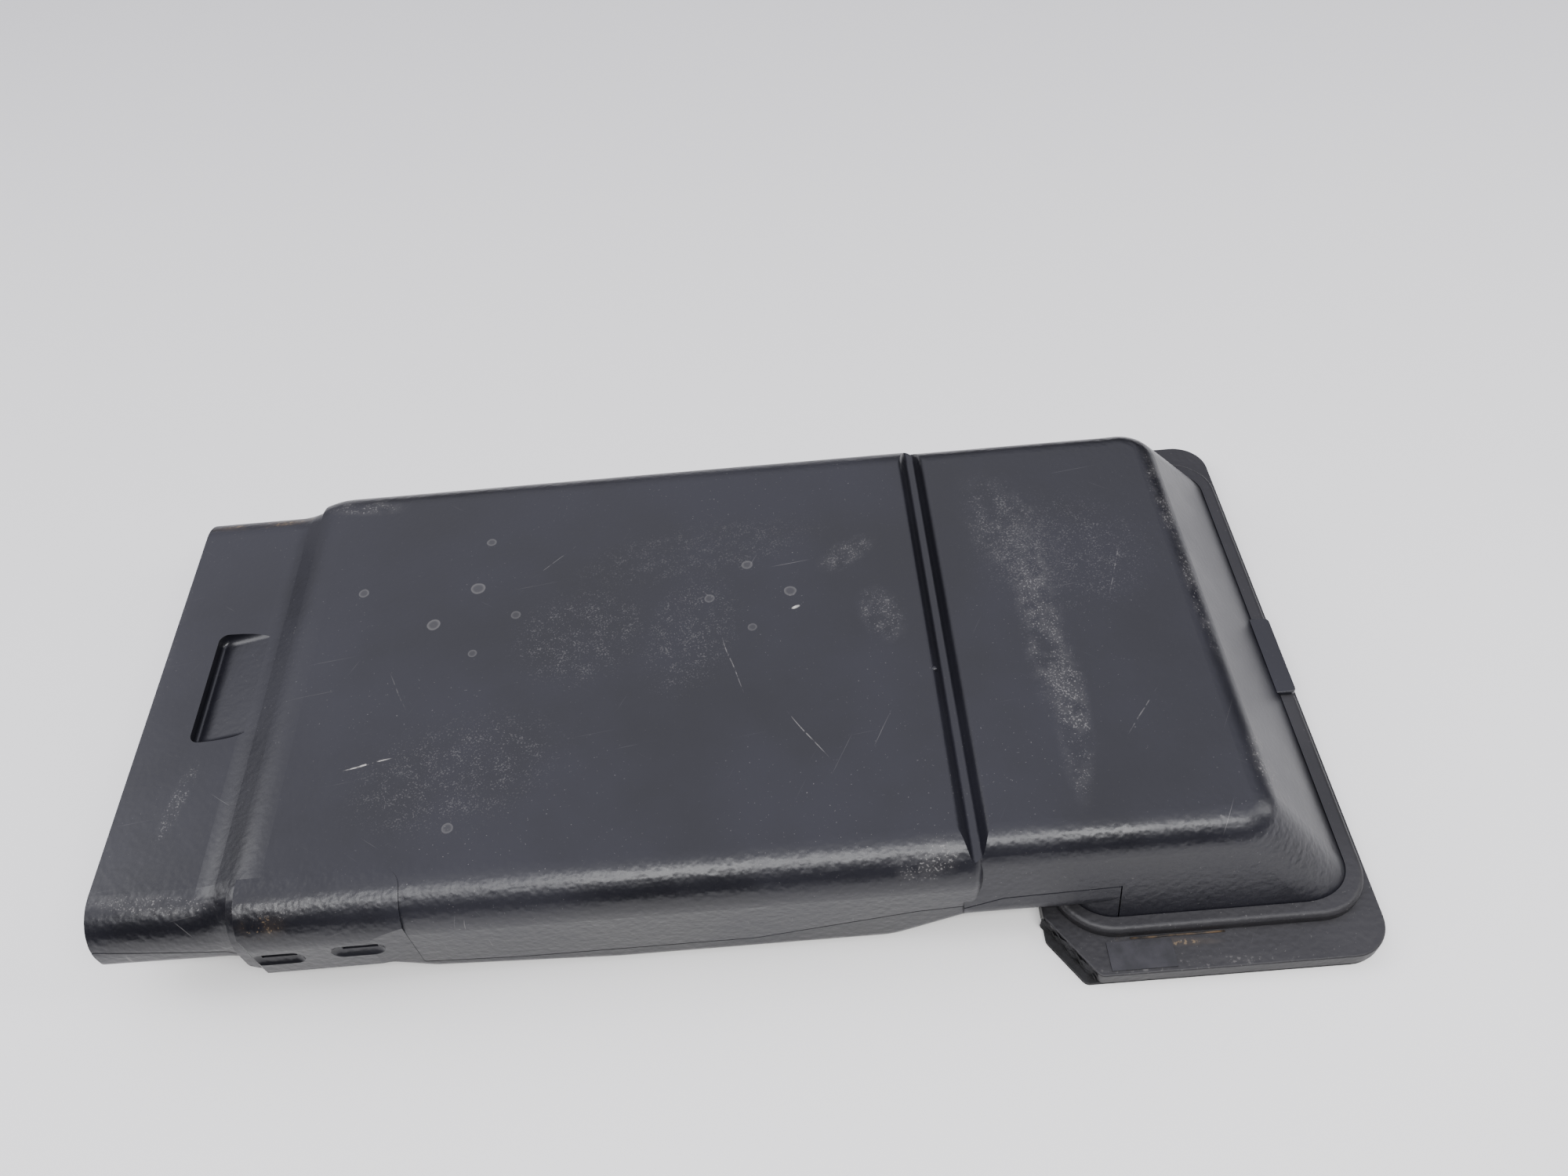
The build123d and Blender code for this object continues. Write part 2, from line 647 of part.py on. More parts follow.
with BuildPart() as module_pads:
    margin = 24
    levels = [(stack_origin(0), layer_z(layer) - module_pad, module_length - 2 * margin) for layer in range(3)]
    levels += [(stack_origin(1), layer_z(2) - module_pad, module_length - 2 * margin)]
    levels += [(stack_origin(1) + side * (module_length / 2 - 32), layer_z(1) - module_pad, 24)
               for side in (-1, 1)]
    for middle_x, bottom, length in levels:
        with Locations((middle_x, module_y, bottom)):
            Box(length, module_width - 2 * margin, module_pad, align=upwards)
finish(module_pads, "module_pads")

with BuildPart() as support_rails:
    for side in (-1, 1):
        with Locations((stack_origin(1) + side * (module_length / 2 - 32), module_y, layer_z(1) - module_pad)):
            Box(30, module_width, layer_z(1), align=(Align.CENTER, Align.CENTER, Align.MAX))
    add(inner_form, mode=Mode.INTERSECT)
finish(support_rails, "support_rails")

with BuildPart() as stack_angles:
    for stack in (0, 1):
        for end in (-1, 1):
            for side in (-1, 1):
                corner_x = stack_origin(stack) + end * (module_length / 2 + stand_off)
                corner_y = module_y + side * (module_width / 2 + stand_off)
                along = (corner_x - end * angle_leg / 2, corner_y + side * angle_thickness / 2, 0)
                across = (corner_x + end * angle_thickness / 2,
                          corner_y - side * (angle_leg / 2 - angle_thickness), 0)
                with Locations(along):
                    Box(angle_leg, angle_thickness, layer_z(3) - 2 * module_pad, align=upwards)
                with Locations(across):
                    Box(angle_thickness, angle_leg, layer_z(3) - 2 * module_pad, align=upwards)
    add(inner_form, mode=Mode.INTERSECT)
finish(stack_angles, "stack_angles")

for stack in (0, 1):
    with BuildPart() as sense_board:
        with Locations((stack_origin(stack), near_face_y - stand_off, layer_z(1) + 6)):
            Box(120, 1.6, 44, align=(Align.CENTER, Align.MAX, Align.MIN))
        fillet(sense_board.edges().filter_by(Axis.Y), 3)
    finish(sense_board, f"sense_board_{stack + 1}")


# ---------------------------------------------------------------- busbars and switchgear
half_bar = busbar_width / 2
bar_y = stud_face_y
bar_out_y = bar_y + busbar_thickness
layer_mid = [layer_z(layer) + module_thickness / 2 for layer in range(3)]
deep_minus = stack_origin(0) + terminal_spread / 2
deep_plus = stack_origin(0) - terminal_spread / 2
shelf_inner = stack_origin(1) + terminal_spread / 2
shelf_outer = stack_origin(1) - terminal_spread / 2
upright_links = {
    "link_bar_1": (deep_plus, 1, 2),
    "link_bar_2": (deep_minus, 0, 1),
    "link_bar_3": (shelf_outer, 1, 2),
}
for name, (place_x, low_layer, high_layer) in upright_links.items():
    with BuildPart() as link:
        with Locations((place_x, bar_y, layer_mid[low_layer] - half_bar)):
            Box(busbar_width, busbar_thickness, layer_mid[high_layer] - layer_mid[low_layer] + busbar_width,
                align=(Align.CENTER, Align.MIN, Align.MIN))
        with Locations((place_x, bar_y, layer_mid[low_layer]), (place_x, bar_y, layer_mid[high_layer])):
            Cylinder(stud_radius + 0.2, 60, rotation=(90, 0, 0), mode=Mode.SUBTRACT)
        fillet(link.edges().filter_by(Axis.Y).filter_by(GeomType.LINE), 3)
    finish(link, name)

with BuildPart() as link_bar_4:
    with Locations((shelf_inner - half_bar, bar_y, layer_mid[0] - half_bar)):
        Box(deep_plus - shelf_inner + busbar_width, busbar_thickness, busbar_width,
            align=(Align.MIN, Align.MIN, Align.MIN))
        Box(busbar_width, busbar_thickness, layer_mid[1] - layer_mid[0] + busbar_width,
            align=(Align.MIN, Align.MIN, Align.MIN))
    with Locations((deep_plus, bar_y, layer_mid[0]), (shelf_inner, bar_y, layer_mid[1])):
        Cylinder(stud_radius + 0.2, 60, rotation=(90, 0, 0), mode=Mode.SUBTRACT)
finish(link_bar_4, "link_bar_4")

deck_start_x = groove_x - deck_setback
deck_top = deck_height + deck_thickness
gear_x = deck_start_x + 3 + contactor_size[0] / 2
contactor_y = 124.0
contactor_pitch = 32.0
contactor_top = deck_top + contactor_size[2] + 4
fuse_y = 40.0
fuse_pitch = 76.0
fuse_seat = deck_top + fuse_base_size[2]
shunt_y = -50.0
shunt_top = deck_top + shunt_base_size[2] + 14

outer_run_y = bar_out_y + nut_height + 4
with BuildPart() as bus_positive:
    low_z = layer_mid[2] - half_bar
    jog_x = shelf_inner + 34
    runs = [
        ((shelf_inner - half_bar, bar_y, low_z), (jog_x, bar_out_y, low_z + busbar_width)),
        ((jog_x - busbar_thickness, bar_y, low_z), (jog_x, outer_run_y + busbar_thickness, low_z + busbar_width)),
        ((jog_x - busbar_thickness, outer_run_y, low_z),
         (gear_x + 8, outer_run_y + busbar_thickness, low_z + busbar_width)),
        ((gear_x - 8, contactor_y + contactor_pitch / 2 - 8, contactor_top),
         (gear_x + 8, outer_run_y + busbar_thickness, contactor_top + busbar_thickness)),
    ]
    for low, high in runs:
        with Locations(low):
            Box(*[top - bottom for bottom, top in zip(low, high)], align=(Align.MIN, Align.MIN, Align.MIN))
    with Locations((shelf_inner, bar_y, layer_mid[2])):
        Cylinder(stud_radius + 0.2, 2 * busbar_thickness + 1, rotation=(90, 0, 0), mode=Mode.SUBTRACT)
    with Locations((gear_x, contactor_y + contactor_pitch / 2, contactor_top)):
        Cylinder(stud_radius + 0.2, 3 * busbar_thickness, mode=Mode.SUBTRACT)
finish(bus_positive, "bus_positive")

with BuildPart() as bus_negative:
    turn_x = deck_start_x - 5
    shunt_half = 12
    runs = [
        ((deep_minus - half_bar, bar_y, low_z), (turn_x + busbar_thickness, bar_out_y, low_z + busbar_width)),
        ((turn_x, shunt_y - shunt_half, low_z), (turn_x + busbar_thickness, bar_out_y, low_z + busbar_width)),
        ((turn_x, shunt_y - shunt_half, shunt_top),
         (turn_x + busbar_thickness, shunt_y + shunt_half, low_z + busbar_width)),
        ((turn_x, shunt_y - shunt_half, shunt_top),
         (gear_x - 10, shunt_y + shunt_half, shunt_top + busbar_thickness)),
    ]
    for low, high in runs:
        with Locations(low):
            Box(*[top - bottom for bottom, top in zip(low, high)], align=(Align.MIN, Align.MIN, Align.MIN))
    with Locations((deep_minus, bar_y, layer_mid[2])):
        Cylinder(stud_radius + 0.2, 2 * busbar_thickness + 1, rotation=(90, 0, 0), mode=Mode.SUBTRACT)
finish(bus_negative, "bus_negative")

with BuildPart() as contactor:
    with Locations((gear_x, contactor_y, deck_top)):
        Box(*contactor_size, align=upwards)
    fillet(contactor.edges().filter_by(Axis.Z), 5)
    fillet(contactor.faces().sort_by(Axis.Z)[-1].edges(), 2)
    with Locations((gear_x, contactor_y, contactor_top - 4)):
        with GridLocations(1, contactor_pitch, 1, 2):
            Cylinder(7, 4, align=upwards)
finish(contactor, "contactor")

with BuildPart() as fuse_base:
    with Locations((gear_x, fuse_y, deck_top)):
        Box(*fuse_base_size, align=upwards)
    fillet(fuse_base.edges().filter_by(Axis.Z), 4)
finish(fuse_base, "fuse_base")

with BuildPart() as fuse_link:
    with Locations((gear_x, fuse_y, fuse_seat + fuse_radius + 0.5)):
        Cylinder(fuse_radius, 46, rotation=(90, 0, 0))
    for side in (-1, 1):
        with Locations((gear_x, fuse_y + side * (23 + busbar_thickness / 2), fuse_seat)):
            Box(busbar_width, busbar_thickness, 2 * fuse_radius, align=upwards)
        with Locations((gear_x, fuse_y + side * (fuse_pitch / 2 - 3), fuse_seat)):
            Box(busbar_width, 26, busbar_thickness, align=upwards)
        with Locations((gear_x, fuse_y + side * fuse_pitch / 2, fuse_seat)):
            Cylinder(stud_radius + 0.2, 3 * busbar_thickness, mode=Mode.SUBTRACT)
finish(fuse_link, "fuse_link")

with BuildPart() as bus_fuse:
    step_y = contactor_y - contactor_size[1] / 2 - 2 - busbar_thickness
    fuse_stud_y = fuse_y + fuse_pitch / 2
    runs = [
        ((gear_x - 8, step_y, contactor_top),
         (gear_x + 8, contactor_y - contactor_pitch / 2 + 8, contactor_top + busbar_thickness)),
        ((gear_x - 8, step_y, fuse_seat + busbar_thickness),
         (gear_x + 8, step_y + busbar_thickness, contactor_top + busbar_thickness)),
        ((gear_x - 8, fuse_stud_y - 9, fuse_seat + busbar_thickness),
         (gear_x + 8, step_y + busbar_thickness, fuse_seat + 2 * busbar_thickness)),
    ]
    for low, high in runs:
        with Locations(low):
            Box(*[top - bottom for bottom, top in zip(low, high)], align=(Align.MIN, Align.MIN, Align.MIN))
    with Locations((gear_x, contactor_y - contactor_pitch / 2, contactor_top),
                   (gear_x, fuse_stud_y, fuse_seat + busbar_thickness)):
        Cylinder(stud_radius + 0.2, 3 * busbar_thickness, mode=Mode.SUBTRACT)
finish(bus_fuse, "bus_fuse")

# Studs of the contactor and the fuse, each with the height of what is bolted on it
gear_studs = [
    (contactor_y + contactor_pitch / 2, contactor_top, busbar_thickness),
    (contactor_y - contactor_pitch / 2, contactor_top, busbar_thickness),
    (fuse_y + fuse_pitch / 2, fuse_seat, 2 * busbar_thickness),
    (fuse_y - fuse_pitch / 2, fuse_seat, busbar_thickness),
]
with BuildPart() as switch_studs:
    for place_y, seat, clamped in gear_studs:
        with Locations((gear_x, place_y, seat)):
            Cylinder(stud_radius, clamped + nut_height + 1, align=upwards)
finish(switch_studs, "switch_studs")

with BuildPart() as switch_nuts:
    for place_y, seat, clamped in gear_studs:
        with BuildSketch(Plane.XY.offset(seat + clamped)) as nut_sketch:
            with Locations((gear_x, place_y)):
                RegularPolygon(nut_across / 2, 6, major_radius=False)
                Circle(stud_radius + 0.05, mode=Mode.SUBTRACT)
        extrude(amount=nut_height)
finish(switch_nuts, "switch_nuts")

with BuildPart() as shunt_base:
    with Locations((gear_x, shunt_y, deck_top)):
        Box(*shunt_base_size, align=upwards)
    fillet(shunt_base.edges().filter_by(Axis.Z), 3)
finish(shunt_base, "shunt_base")

with BuildPart() as current_shunt:
    with Locations((gear_x, shunt_y, deck_top + shunt_base_size[2])):
        with GridLocations(34, 1, 2, 1):
            Box(14, 2 * shunt_half, 14, align=upwards)
        for slat in (3, 7, 11):
            with Locations((0, 0, slat)):
                Box(22, 2 * shunt_half - 4, 1)
finish(current_shunt, "current_shunt")

with BuildPart() as precharge_resistor:
    with Locations((gear_x, shunt_y - 60, deck_top)):
        Box(26, 50, 3, align=upwards)
        Box(16, 50, 15, align=upwards)
        with Locations((0, 0, 7)):
            with GridLocations(1, 8, 1, 6):
                Box(20, 3, 7, align=upwards)
finish(precharge_resistor, "precharge_resistor")

spacer_places = [(deck_start_x + place_x, side * (deck_width / 2 - spacer_radius - 1))
                 for place_x in (14, deck_length - 18) for side in (-1, 1)]
with BuildPart() as switch_deck:
    with Locations((deck_start_x, 0, deck_height)):
        Box(deck_length, deck_width, deck_thickness, align=(Align.MIN, Align.CENTER, Align.MIN))
    fillet(switch_deck.edges().filter_by(Axis.Z), 8)
    with Locations(*[(x, y, deck_height) for x, y in spacer_places]):
        Cylinder(deck_screw_radius + 0.1, 4 * deck_thickness, mode=Mode.SUBTRACT)
finish(switch_deck, "switch_deck")

with BuildPart() as deck_spacers:
    with Locations(*[(x, y, 0) for x, y in spacer_places]):
        Cylinder(spacer_radius, deck_height, align=upwards)
    add(inner_form, mode=Mode.INTERSECT)
    with Locations(*[(x, y, arch_roof + wall) for x, y in spacer_places]):
        Cylinder(deck_screw_radius + 0.1, box_height, align=upwards, mode=Mode.SUBTRACT)
finish(deck_spacers, "deck_spacers")

with BuildPart() as deck_screws:
    with Locations(*[(x, y, deck_top) for x, y in spacer_places]):
        Cylinder(2 * deck_screw_radius, 2, align=upwards)
        Cylinder(deck_screw_radius, deck_thickness + 2, align=(Align.CENTER, Align.CENTER, Align.MAX))
    fillet(deck_screws.edges().filter_by(GeomType.CIRCLE).group_by(Axis.Z)[-1], 0.8)
finish(deck_screws, "deck_screws")

# Battery management board over the end plate
board_x = mouth_middle_x - 28
board_y = -30.0
board_z = plate_top + board_height
standoff_places = [(board_x + x * (board_size[0] / 2 - 6), board_y + y * (board_size[1] / 2 - 6))
                   for x in (-1, 1) for y in (-1, 1)]
with BuildPart() as board_standoffs:
    with Locations(*[(x, y, plate_top) for x, y in standoff_places]):
        Cylinder(standoff_radius, board_height, align=upwards)
finish(board_standoffs, "board_standoffs")

with BuildPart() as management_board:
    with Locations((board_x, board_y, board_z)):
        Box(*board_size, align=upwards)
    fillet(management_board.edges().filter_by(Axis.Z), 3)
finish(management_board, "management_board")

board_face = board_z + board_size[2]
with BuildPart() as board_heatsink:
    with Locations((board_x, board_y - 40, board_face)):
        Box(62, 56, 4, align=upwards)
        with GridLocations(7, 1, 9, 1):
            Box(2, 56, 18, align=upwards)
finish(board_heatsink, "board_heatsink")

with BuildPart() as board_connectors:
    with Locations((board_x - 28, board_y + 30, board_face), (board_x + 28, board_y + 30, board_face)):
        Box(12, 60, 10, align=upwards)
finish(board_connectors, "board_connectors")


# ---------------------------------------------------------------- what rides on the upper shell
pad_bottom = layer_z(3) - module_pad + stand_off
with BuildPart() as cover_pads:
    for stack in (0, 1):
        with Locations((stack_origin(stack), module_y, pad_bottom)):
            Box(module_length - 30, module_width - 40, box_height - wall - pad_bottom, align=upwards)
finish(cover_pads, "cover_pads")

tongue_y = -slab_half + wall + 0.5
for number, (centre_x, centre_z) in enumerate(zip(dimple_x, dimple_z), start=1):
    with BuildPart() as side_latch:
        with Locations((centre_x, tongue_y, centre_z - tongue_drop)):
            Box(slot_length - 4, tongue_thickness, tongue_height, align=(Align.CENTER, Align.MIN, Align.MIN))
        with Locations((centre_x, tongue_y, centre_z)):
            Box(slot_length - 2 * button_clearance, wall - 1.3, slot_height - 2 * button_clearance,
                align=(Align.CENTER, Align.MAX, Align.CENTER))
    finish(side_latch, f"side_latch_{number}")

with BuildPart() as end_latch:
    with Locations((collar_end_x, tab_off_centre, tab_bottom)):
        Box(4 * tab_thickness + collar_end_x - tab_inner_x, tab_length, tab_thickness,
            align=(Align.MAX, Align.CENTER, Align.MIN))
    corners = end_latch.edges().filter_by(Axis.Z).filter_by_position(Axis.X, collar_end_x - 1, collar_end_x + 1)
    fillet(corners, 4)
    fillet(end_latch.faces().sort_by(Axis.Z)[-1].edges(), 1.2)
    add(end_bay(-fit_gap, flange_top), mode=Mode.SUBTRACT)
    with Locations((collar_end_x - tab_lip_thickness, tab_off_centre, tab_bottom)):
        Box(tab_lip_thickness, tab_length - 10, tab_lip, align=(Align.MIN, Align.CENTER, Align.MAX))
finish(end_latch, "end_latch")
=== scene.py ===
"""Battery box: moulded shells on a flanged end bay, dressed over the fixed frame of its solids."""

import logging
import math
from dataclasses import dataclass
from enum import Enum

import bmesh
import bpy
from mathutils import Matrix, Vector


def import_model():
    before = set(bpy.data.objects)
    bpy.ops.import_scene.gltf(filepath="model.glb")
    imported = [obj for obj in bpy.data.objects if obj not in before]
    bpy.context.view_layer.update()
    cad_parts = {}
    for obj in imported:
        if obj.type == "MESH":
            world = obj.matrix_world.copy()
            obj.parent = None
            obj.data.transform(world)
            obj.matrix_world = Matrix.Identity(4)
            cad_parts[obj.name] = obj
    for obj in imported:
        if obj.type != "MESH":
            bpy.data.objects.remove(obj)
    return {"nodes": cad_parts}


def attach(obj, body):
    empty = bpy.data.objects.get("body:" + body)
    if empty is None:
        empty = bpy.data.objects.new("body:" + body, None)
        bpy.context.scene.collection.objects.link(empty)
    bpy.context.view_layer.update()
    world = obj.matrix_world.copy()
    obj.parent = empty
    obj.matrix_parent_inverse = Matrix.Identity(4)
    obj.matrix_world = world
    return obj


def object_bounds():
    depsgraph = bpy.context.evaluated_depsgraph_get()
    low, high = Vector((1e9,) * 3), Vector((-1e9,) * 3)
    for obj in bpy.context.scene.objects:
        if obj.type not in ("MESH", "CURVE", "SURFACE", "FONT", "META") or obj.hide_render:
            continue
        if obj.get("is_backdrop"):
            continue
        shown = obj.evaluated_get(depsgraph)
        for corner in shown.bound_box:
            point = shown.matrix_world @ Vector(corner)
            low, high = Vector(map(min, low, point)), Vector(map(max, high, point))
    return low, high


log = logging.getLogger("battery_box")

MM = 0.001

# Kinds of shader node that many of the finishes use, the settings and outputs they share, and
# how quickly the layers of their noise weaken.
COORDINATES = "ShaderNodeTexCoord"
MAPPING = "ShaderNodeMapping"
NOISE = "ShaderNodeTexNoise"
WAVE = "ShaderNodeTexWave"
RANGE = "ShaderNodeMapRange"
MATH = "ShaderNodeMath"
MIX = "ShaderNodeMix"
BUMP = "ShaderNodeBump"
ABOUT_CENTRE = {"vector_type": "TEXTURE"}
SMOOTH = {"interpolation_type": "SMOOTHSTEP"}
ADD = {"operation": "ADD"}
MULTIPLY = {"operation": "MULTIPLY"}
MAXIMUM = {"operation": "MAXIMUM"}
COLOURS = {"data_type": "RGBA"}
MIXED = 2
SOFT = 0.55


class Body(Enum):
    """Rigid bodies that an added piece rides on."""

    BASE = "base"


class Slot(Enum):
    """Names of two material slots, foam and seal rubber."""

    FOAM = "foam"
    SEAL_RUBBER = "seal_rubber"


def linear(hex_colour: str, alpha: float = 1.0) -> tuple[float, float, float, float]:
    """Turn an sRGB hex colour into linear light.

    Args:
        hex_colour: six hex digits, such as "4a4951".
        alpha: opacity of the colour.

    Returns:
        Red, green, blue and alpha, from 0 to 1.
    """
    parts = [int(hex_colour[i:i + 2], 16) / 255 for i in (0, 2, 4)]
    light = [c / 12.92 if c <= 0.04045 else ((c + 0.055) / 1.055) ** 2.4 for c in parts]
    return (light[0], light[1], light[2], alpha)


def add_node(tree: bpy.types.NodeTree, kind: str, settings: dict | None = None,
             inputs: dict | tuple = (), give: str | int = 0) -> bpy.types.NodeSocket:
    """Add a shader node with its settings and links.

    Args:
        tree: node tree the node goes into.
        kind: Blender's identifier for the node.
        settings: attributes set on the node itself.
        inputs: value or socket for each input, in the node's order or by name or number.
        give: name or number of the output that is wanted.

    Returns:
        That output of the new node.
    """
    node = tree.nodes.new(kind)
    for name, value in (settings or {}).items():
        setattr(node, name, value)
    for key, value in (inputs if isinstance(inputs, dict) else dict(enumerate(inputs))).items():
        if isinstance(value, bpy.types.NodeSocket):
            tree.links.new(value, node.inputs[key])
        else:
            node.inputs[key].default_value = value
    return node.outputs[give]


@dataclass(frozen=True)
class Finish:
    """A material with one colour family, a grain and a little unevenness.
    """

    name: str
    shade: str
    tint_to: str
    roughness: float
    metallic: float = 0.0
    patch_mm: float = 40.0
    grain_mm: float = 1.0
    grain_depth_mm: float = 0.02
    stretch: tuple[float, float, float] = (1.0, 1.0, 1.0)
    smoother: float = 0.05
    rougher: float = 0.07
    relief: float = 0.6

    def build(self) -> bpy.types.Material:
        """Make the material.

        Returns:
            The new material.
        """
        material = bpy.data.materials.new(self.name)
        material.use_nodes = True
        tree = material.node_tree
        shader = tree.nodes["Principled BSDF"]
        place = add_node(tree, COORDINATES, give="Object")
        stretched = add_node(tree, MAPPING, {}, {"Vector": place, "Scale": self.stretch})
        cloud = add_node(tree, NOISE, {}, {"Vector": place, "Scale": 1000 / self.patch_mm,
                                           "Detail": 3.0, "Roughness": SOFT})
        grain = add_node(tree, NOISE, {}, {"Vector": stretched, "Scale": 1000 / self.grain_mm,
                                           "Detail": 2.0, "Roughness": SOFT})
        patches = add_node(tree, RANGE, SMOOTH, (cloud, 0.35, 0.65))
        colour = add_node(tree, MIX, COLOURS, {0: patches, 6: linear(self.shade),
                                               7: linear(self.tint_to)}, MIXED)
        tree.links.new(colour, shader.inputs["Base Color"])
        rough = add_node(tree, RANGE, SMOOTH, (grain, 0.3, 0.7, self.roughness - self.smoother,
                                               self.roughness + self.rougher))
        tree.links.new(rough, shader.inputs["Roughness"])
        shader.inputs["Metallic"].default_value = self.metallic
        normal = add_node(tree, BUMP, {}, {"Strength": self.relief, "Height": grain,
                                           "Distance": self.grain_depth_mm * MM})
        tree.links.new(normal, shader.inputs["Normal"])
        return material


@dataclass(frozen=True)
class WornPatch:
    """A rubbed, stained or scratched place on the moulding, as an ellipsoid round a centre."""

    centre_mm: tuple[float, float, float]
    size_mm: tuple[float, float, float]
    turn: float = 0.0
    strength: float = 1.0
    grit_mm: float = 4.0
    haze: float = 0.16

    def closeness(self, tree: bpy.types.NodeTree, place: bpy.types.NodeSocket
                  ) -> bpy.types.NodeSocket:
        """Find how near a place is to the patch's centre.

        Args:
            tree: node tree to work in.
            place: position on the piece.

        Returns:
            Socket with 1 at the centre, and 0 at the patch's edge and beyond it.
        """
        near = add_node(tree, MAPPING, ABOUT_CENTRE,
                        {"Vector": place, "Location": Vector(self.centre_mm) * MM,
                         "Rotation": (0.0, 0.0, math.radians(self.turn)),
                         "Scale": Vector(self.size_mm) * MM})
        return add_node(tree, "ShaderNodeTexGradient", {"gradient_type": "SPHERICAL"}, (near,),
                        "Fac")


@dataclass(frozen=True)
class WaterSpot:
    """A dried drop: a pale ring with a cleaner middle."""

    centre_mm: tuple[float, float, float]
    radius_mm: float
    strength: float = 0.5


@dataclass(frozen=True)
class MouldedShell:
    """Black polyethylene from a textured mould: semi-gloss with a fine orange-peel skin.

    The skin breaks the light into small flecks, and years of handling leave it rubbed grey
    along the shoulders, with scratches and dried water spots on the flat top.
    """

    name: str = "moulded_black_polyethylene"
    deep: str = "0f0f14"
    dusty: str = "1a1a21"
    rubbed: str = "7d7b79"
    tan: str = "7d6a50"
    chalk: str = "c9c5bf"
    roughness: float = 0.33
    ior: float = 1.5
    peel_mm: float = 4.5
    peel_depth_mm: float = 0.38
    peel_on_flat: float = 0.3
    shoulder_mm: tuple[float, float] = (150.0, 185.0)
    sink_mm: float = 70.0
    sink_depth_mm: float = 0.5
    pore_mm: float = 0.9
    pore_depth_mm: float = 0.05
    cut_depth_mm: float = 0.1
    film_mm: float = 120.0
    dust_mm: float = 1.6
    cloud_in_grit: float = 9.0
    grit_window: tuple[float, float] = (0.63, 0.71)
    hair_runs: tuple[tuple[float, float, float], ...] = (
        (62.0, 90.0, 1.1), (-35.0, 60.0, 0.9), (8.0, 120.0, 1.0))
    hair_thickness_mm: float = 30.0
    hair_cloud_mm: float = 55.0
    hair_strength: float = 0.35
    rub_strength: float = 0.75
    patches: tuple[WornPatch, ...] = ()
    tan_patches: tuple[WornPatch, ...] = ()
    spots: tuple[WaterSpot, ...] = ()
    scratches: tuple[WornPatch, ...] = ()

    def worn(self, tree: bpy.types.NodeTree, place: bpy.types.NodeSocket,
             patches: tuple[WornPatch, ...]) -> bpy.types.NodeSocket | float:
        """Find the share of the surface that is rubbed, patch by patch.

        Args:
            tree: node tree to work in.
            place: position on the piece.
            patches: the rubbed places.

        Returns:
            Share from 0, untouched, to 1, rubbed through.
        """
        total: bpy.types.NodeSocket | float = 0.0
        for patch in patches:
            inside = add_node(tree, RANGE, SMOOTH, (patch.closeness(tree, place), 0.0, 0.55))
            cloud_mm = self.cloud_in_grit * patch.grit_mm
            cloud = add_node(tree, NOISE, {}, {"Vector": place, "Scale": 1000 / cloud_mm,
                                               "Detail": 4.0, "Roughness": SOFT})
            cloud = add_node(tree, RANGE, SMOOTH, (cloud, 0.36, 0.64))
            cloudy = add_node(tree, MATH, MULTIPLY, (inside, cloud))
            haze = add_node(tree, MATH, MULTIPLY, (cloudy, patch.haze))
            # Grit shows most where the cloud is dense.
            grit = add_node(tree, NOISE, {}, {"Vector": place, "Scale": 1000 / patch.grit_mm,
                                              "Detail": 3.0, "Roughness": SOFT})
            lift = add_node(tree, MATH, MULTIPLY, (cloudy, 0.10))
            grit = add_node(tree, MATH, ADD, (grit, lift))
            grit = add_node(tree, RANGE, SMOOTH, (grit, *self.grit_window))
            specks = add_node(tree, MATH, MULTIPLY, (grit, inside))
            either = add_node(tree, MATH, MAXIMUM, (haze, specks))
            share = add_node(tree, MATH, MULTIPLY, (either, patch.strength))
            total = add_node(tree, MATH, MAXIMUM, (total, share))
        return total

    def dried(self, tree: bpy.types.NodeTree, place: bpy.types.NodeSocket
              ) -> bpy.types.NodeSocket | float:
        """Draw the pale rings of the dried drops.

        Args:
            tree: node tree to work in.
            place: position on the piece.

        Returns:
            Share from 0 to each ring's strength.
        """
        total: bpy.types.NodeSocket | float = 0.0
        wobble = add_node(tree, NOISE, {}, {"Vector": place, "Scale": 90.0, "Detail": 2.0})
        for spot in self.spots:
            near = add_node(tree, MAPPING, ABOUT_CENTRE,
                            {"Vector": place, "Location": Vector(spot.centre_mm) * MM,
                             "Scale": (spot.radius_mm * MM,) * 3})
            far = add_node(tree, "ShaderNodeVectorMath", {"operation": "LENGTH"}, (near,), "Value")
            bend = add_node(tree, MATH, MULTIPLY, (wobble, 0.5))
            far = add_node(tree, MATH, ADD, (far, bend))
            # The middle keeps about a third of the rim's strength, and it ends past the rim.
            outside = add_node(tree, RANGE, SMOOTH, (far, 1.15, 1.3, 1.0, 0.0))
            rim = add_node(tree, RANGE, SMOOTH, (far, 0.7, 1.15, 0.35, 1.0))
            ring = add_node(tree, MATH, MULTIPLY, (outside, rim))
            ring = add_node(tree, MATH, MULTIPLY, (ring, spot.strength))
            total = add_node(tree, MATH, MAXIMUM, (total, ring))
        return total

    def scored(self, tree: bpy.types.NodeTree, place: bpy.types.NodeSocket
               ) -> bpy.types.NodeSocket | float:
        """Draw the single long scratches.

        Args:
            tree: node tree to work in.
            place: position on the piece.

        Returns:
            Share from 0 to each scratch's strength.
        """
        total: bpy.types.NodeSocket | float = 0.0
        waver = add_node(tree, NOISE, {}, {"Vector": place, "Scale": 25.0, "Detail": 1.0}, "Color")
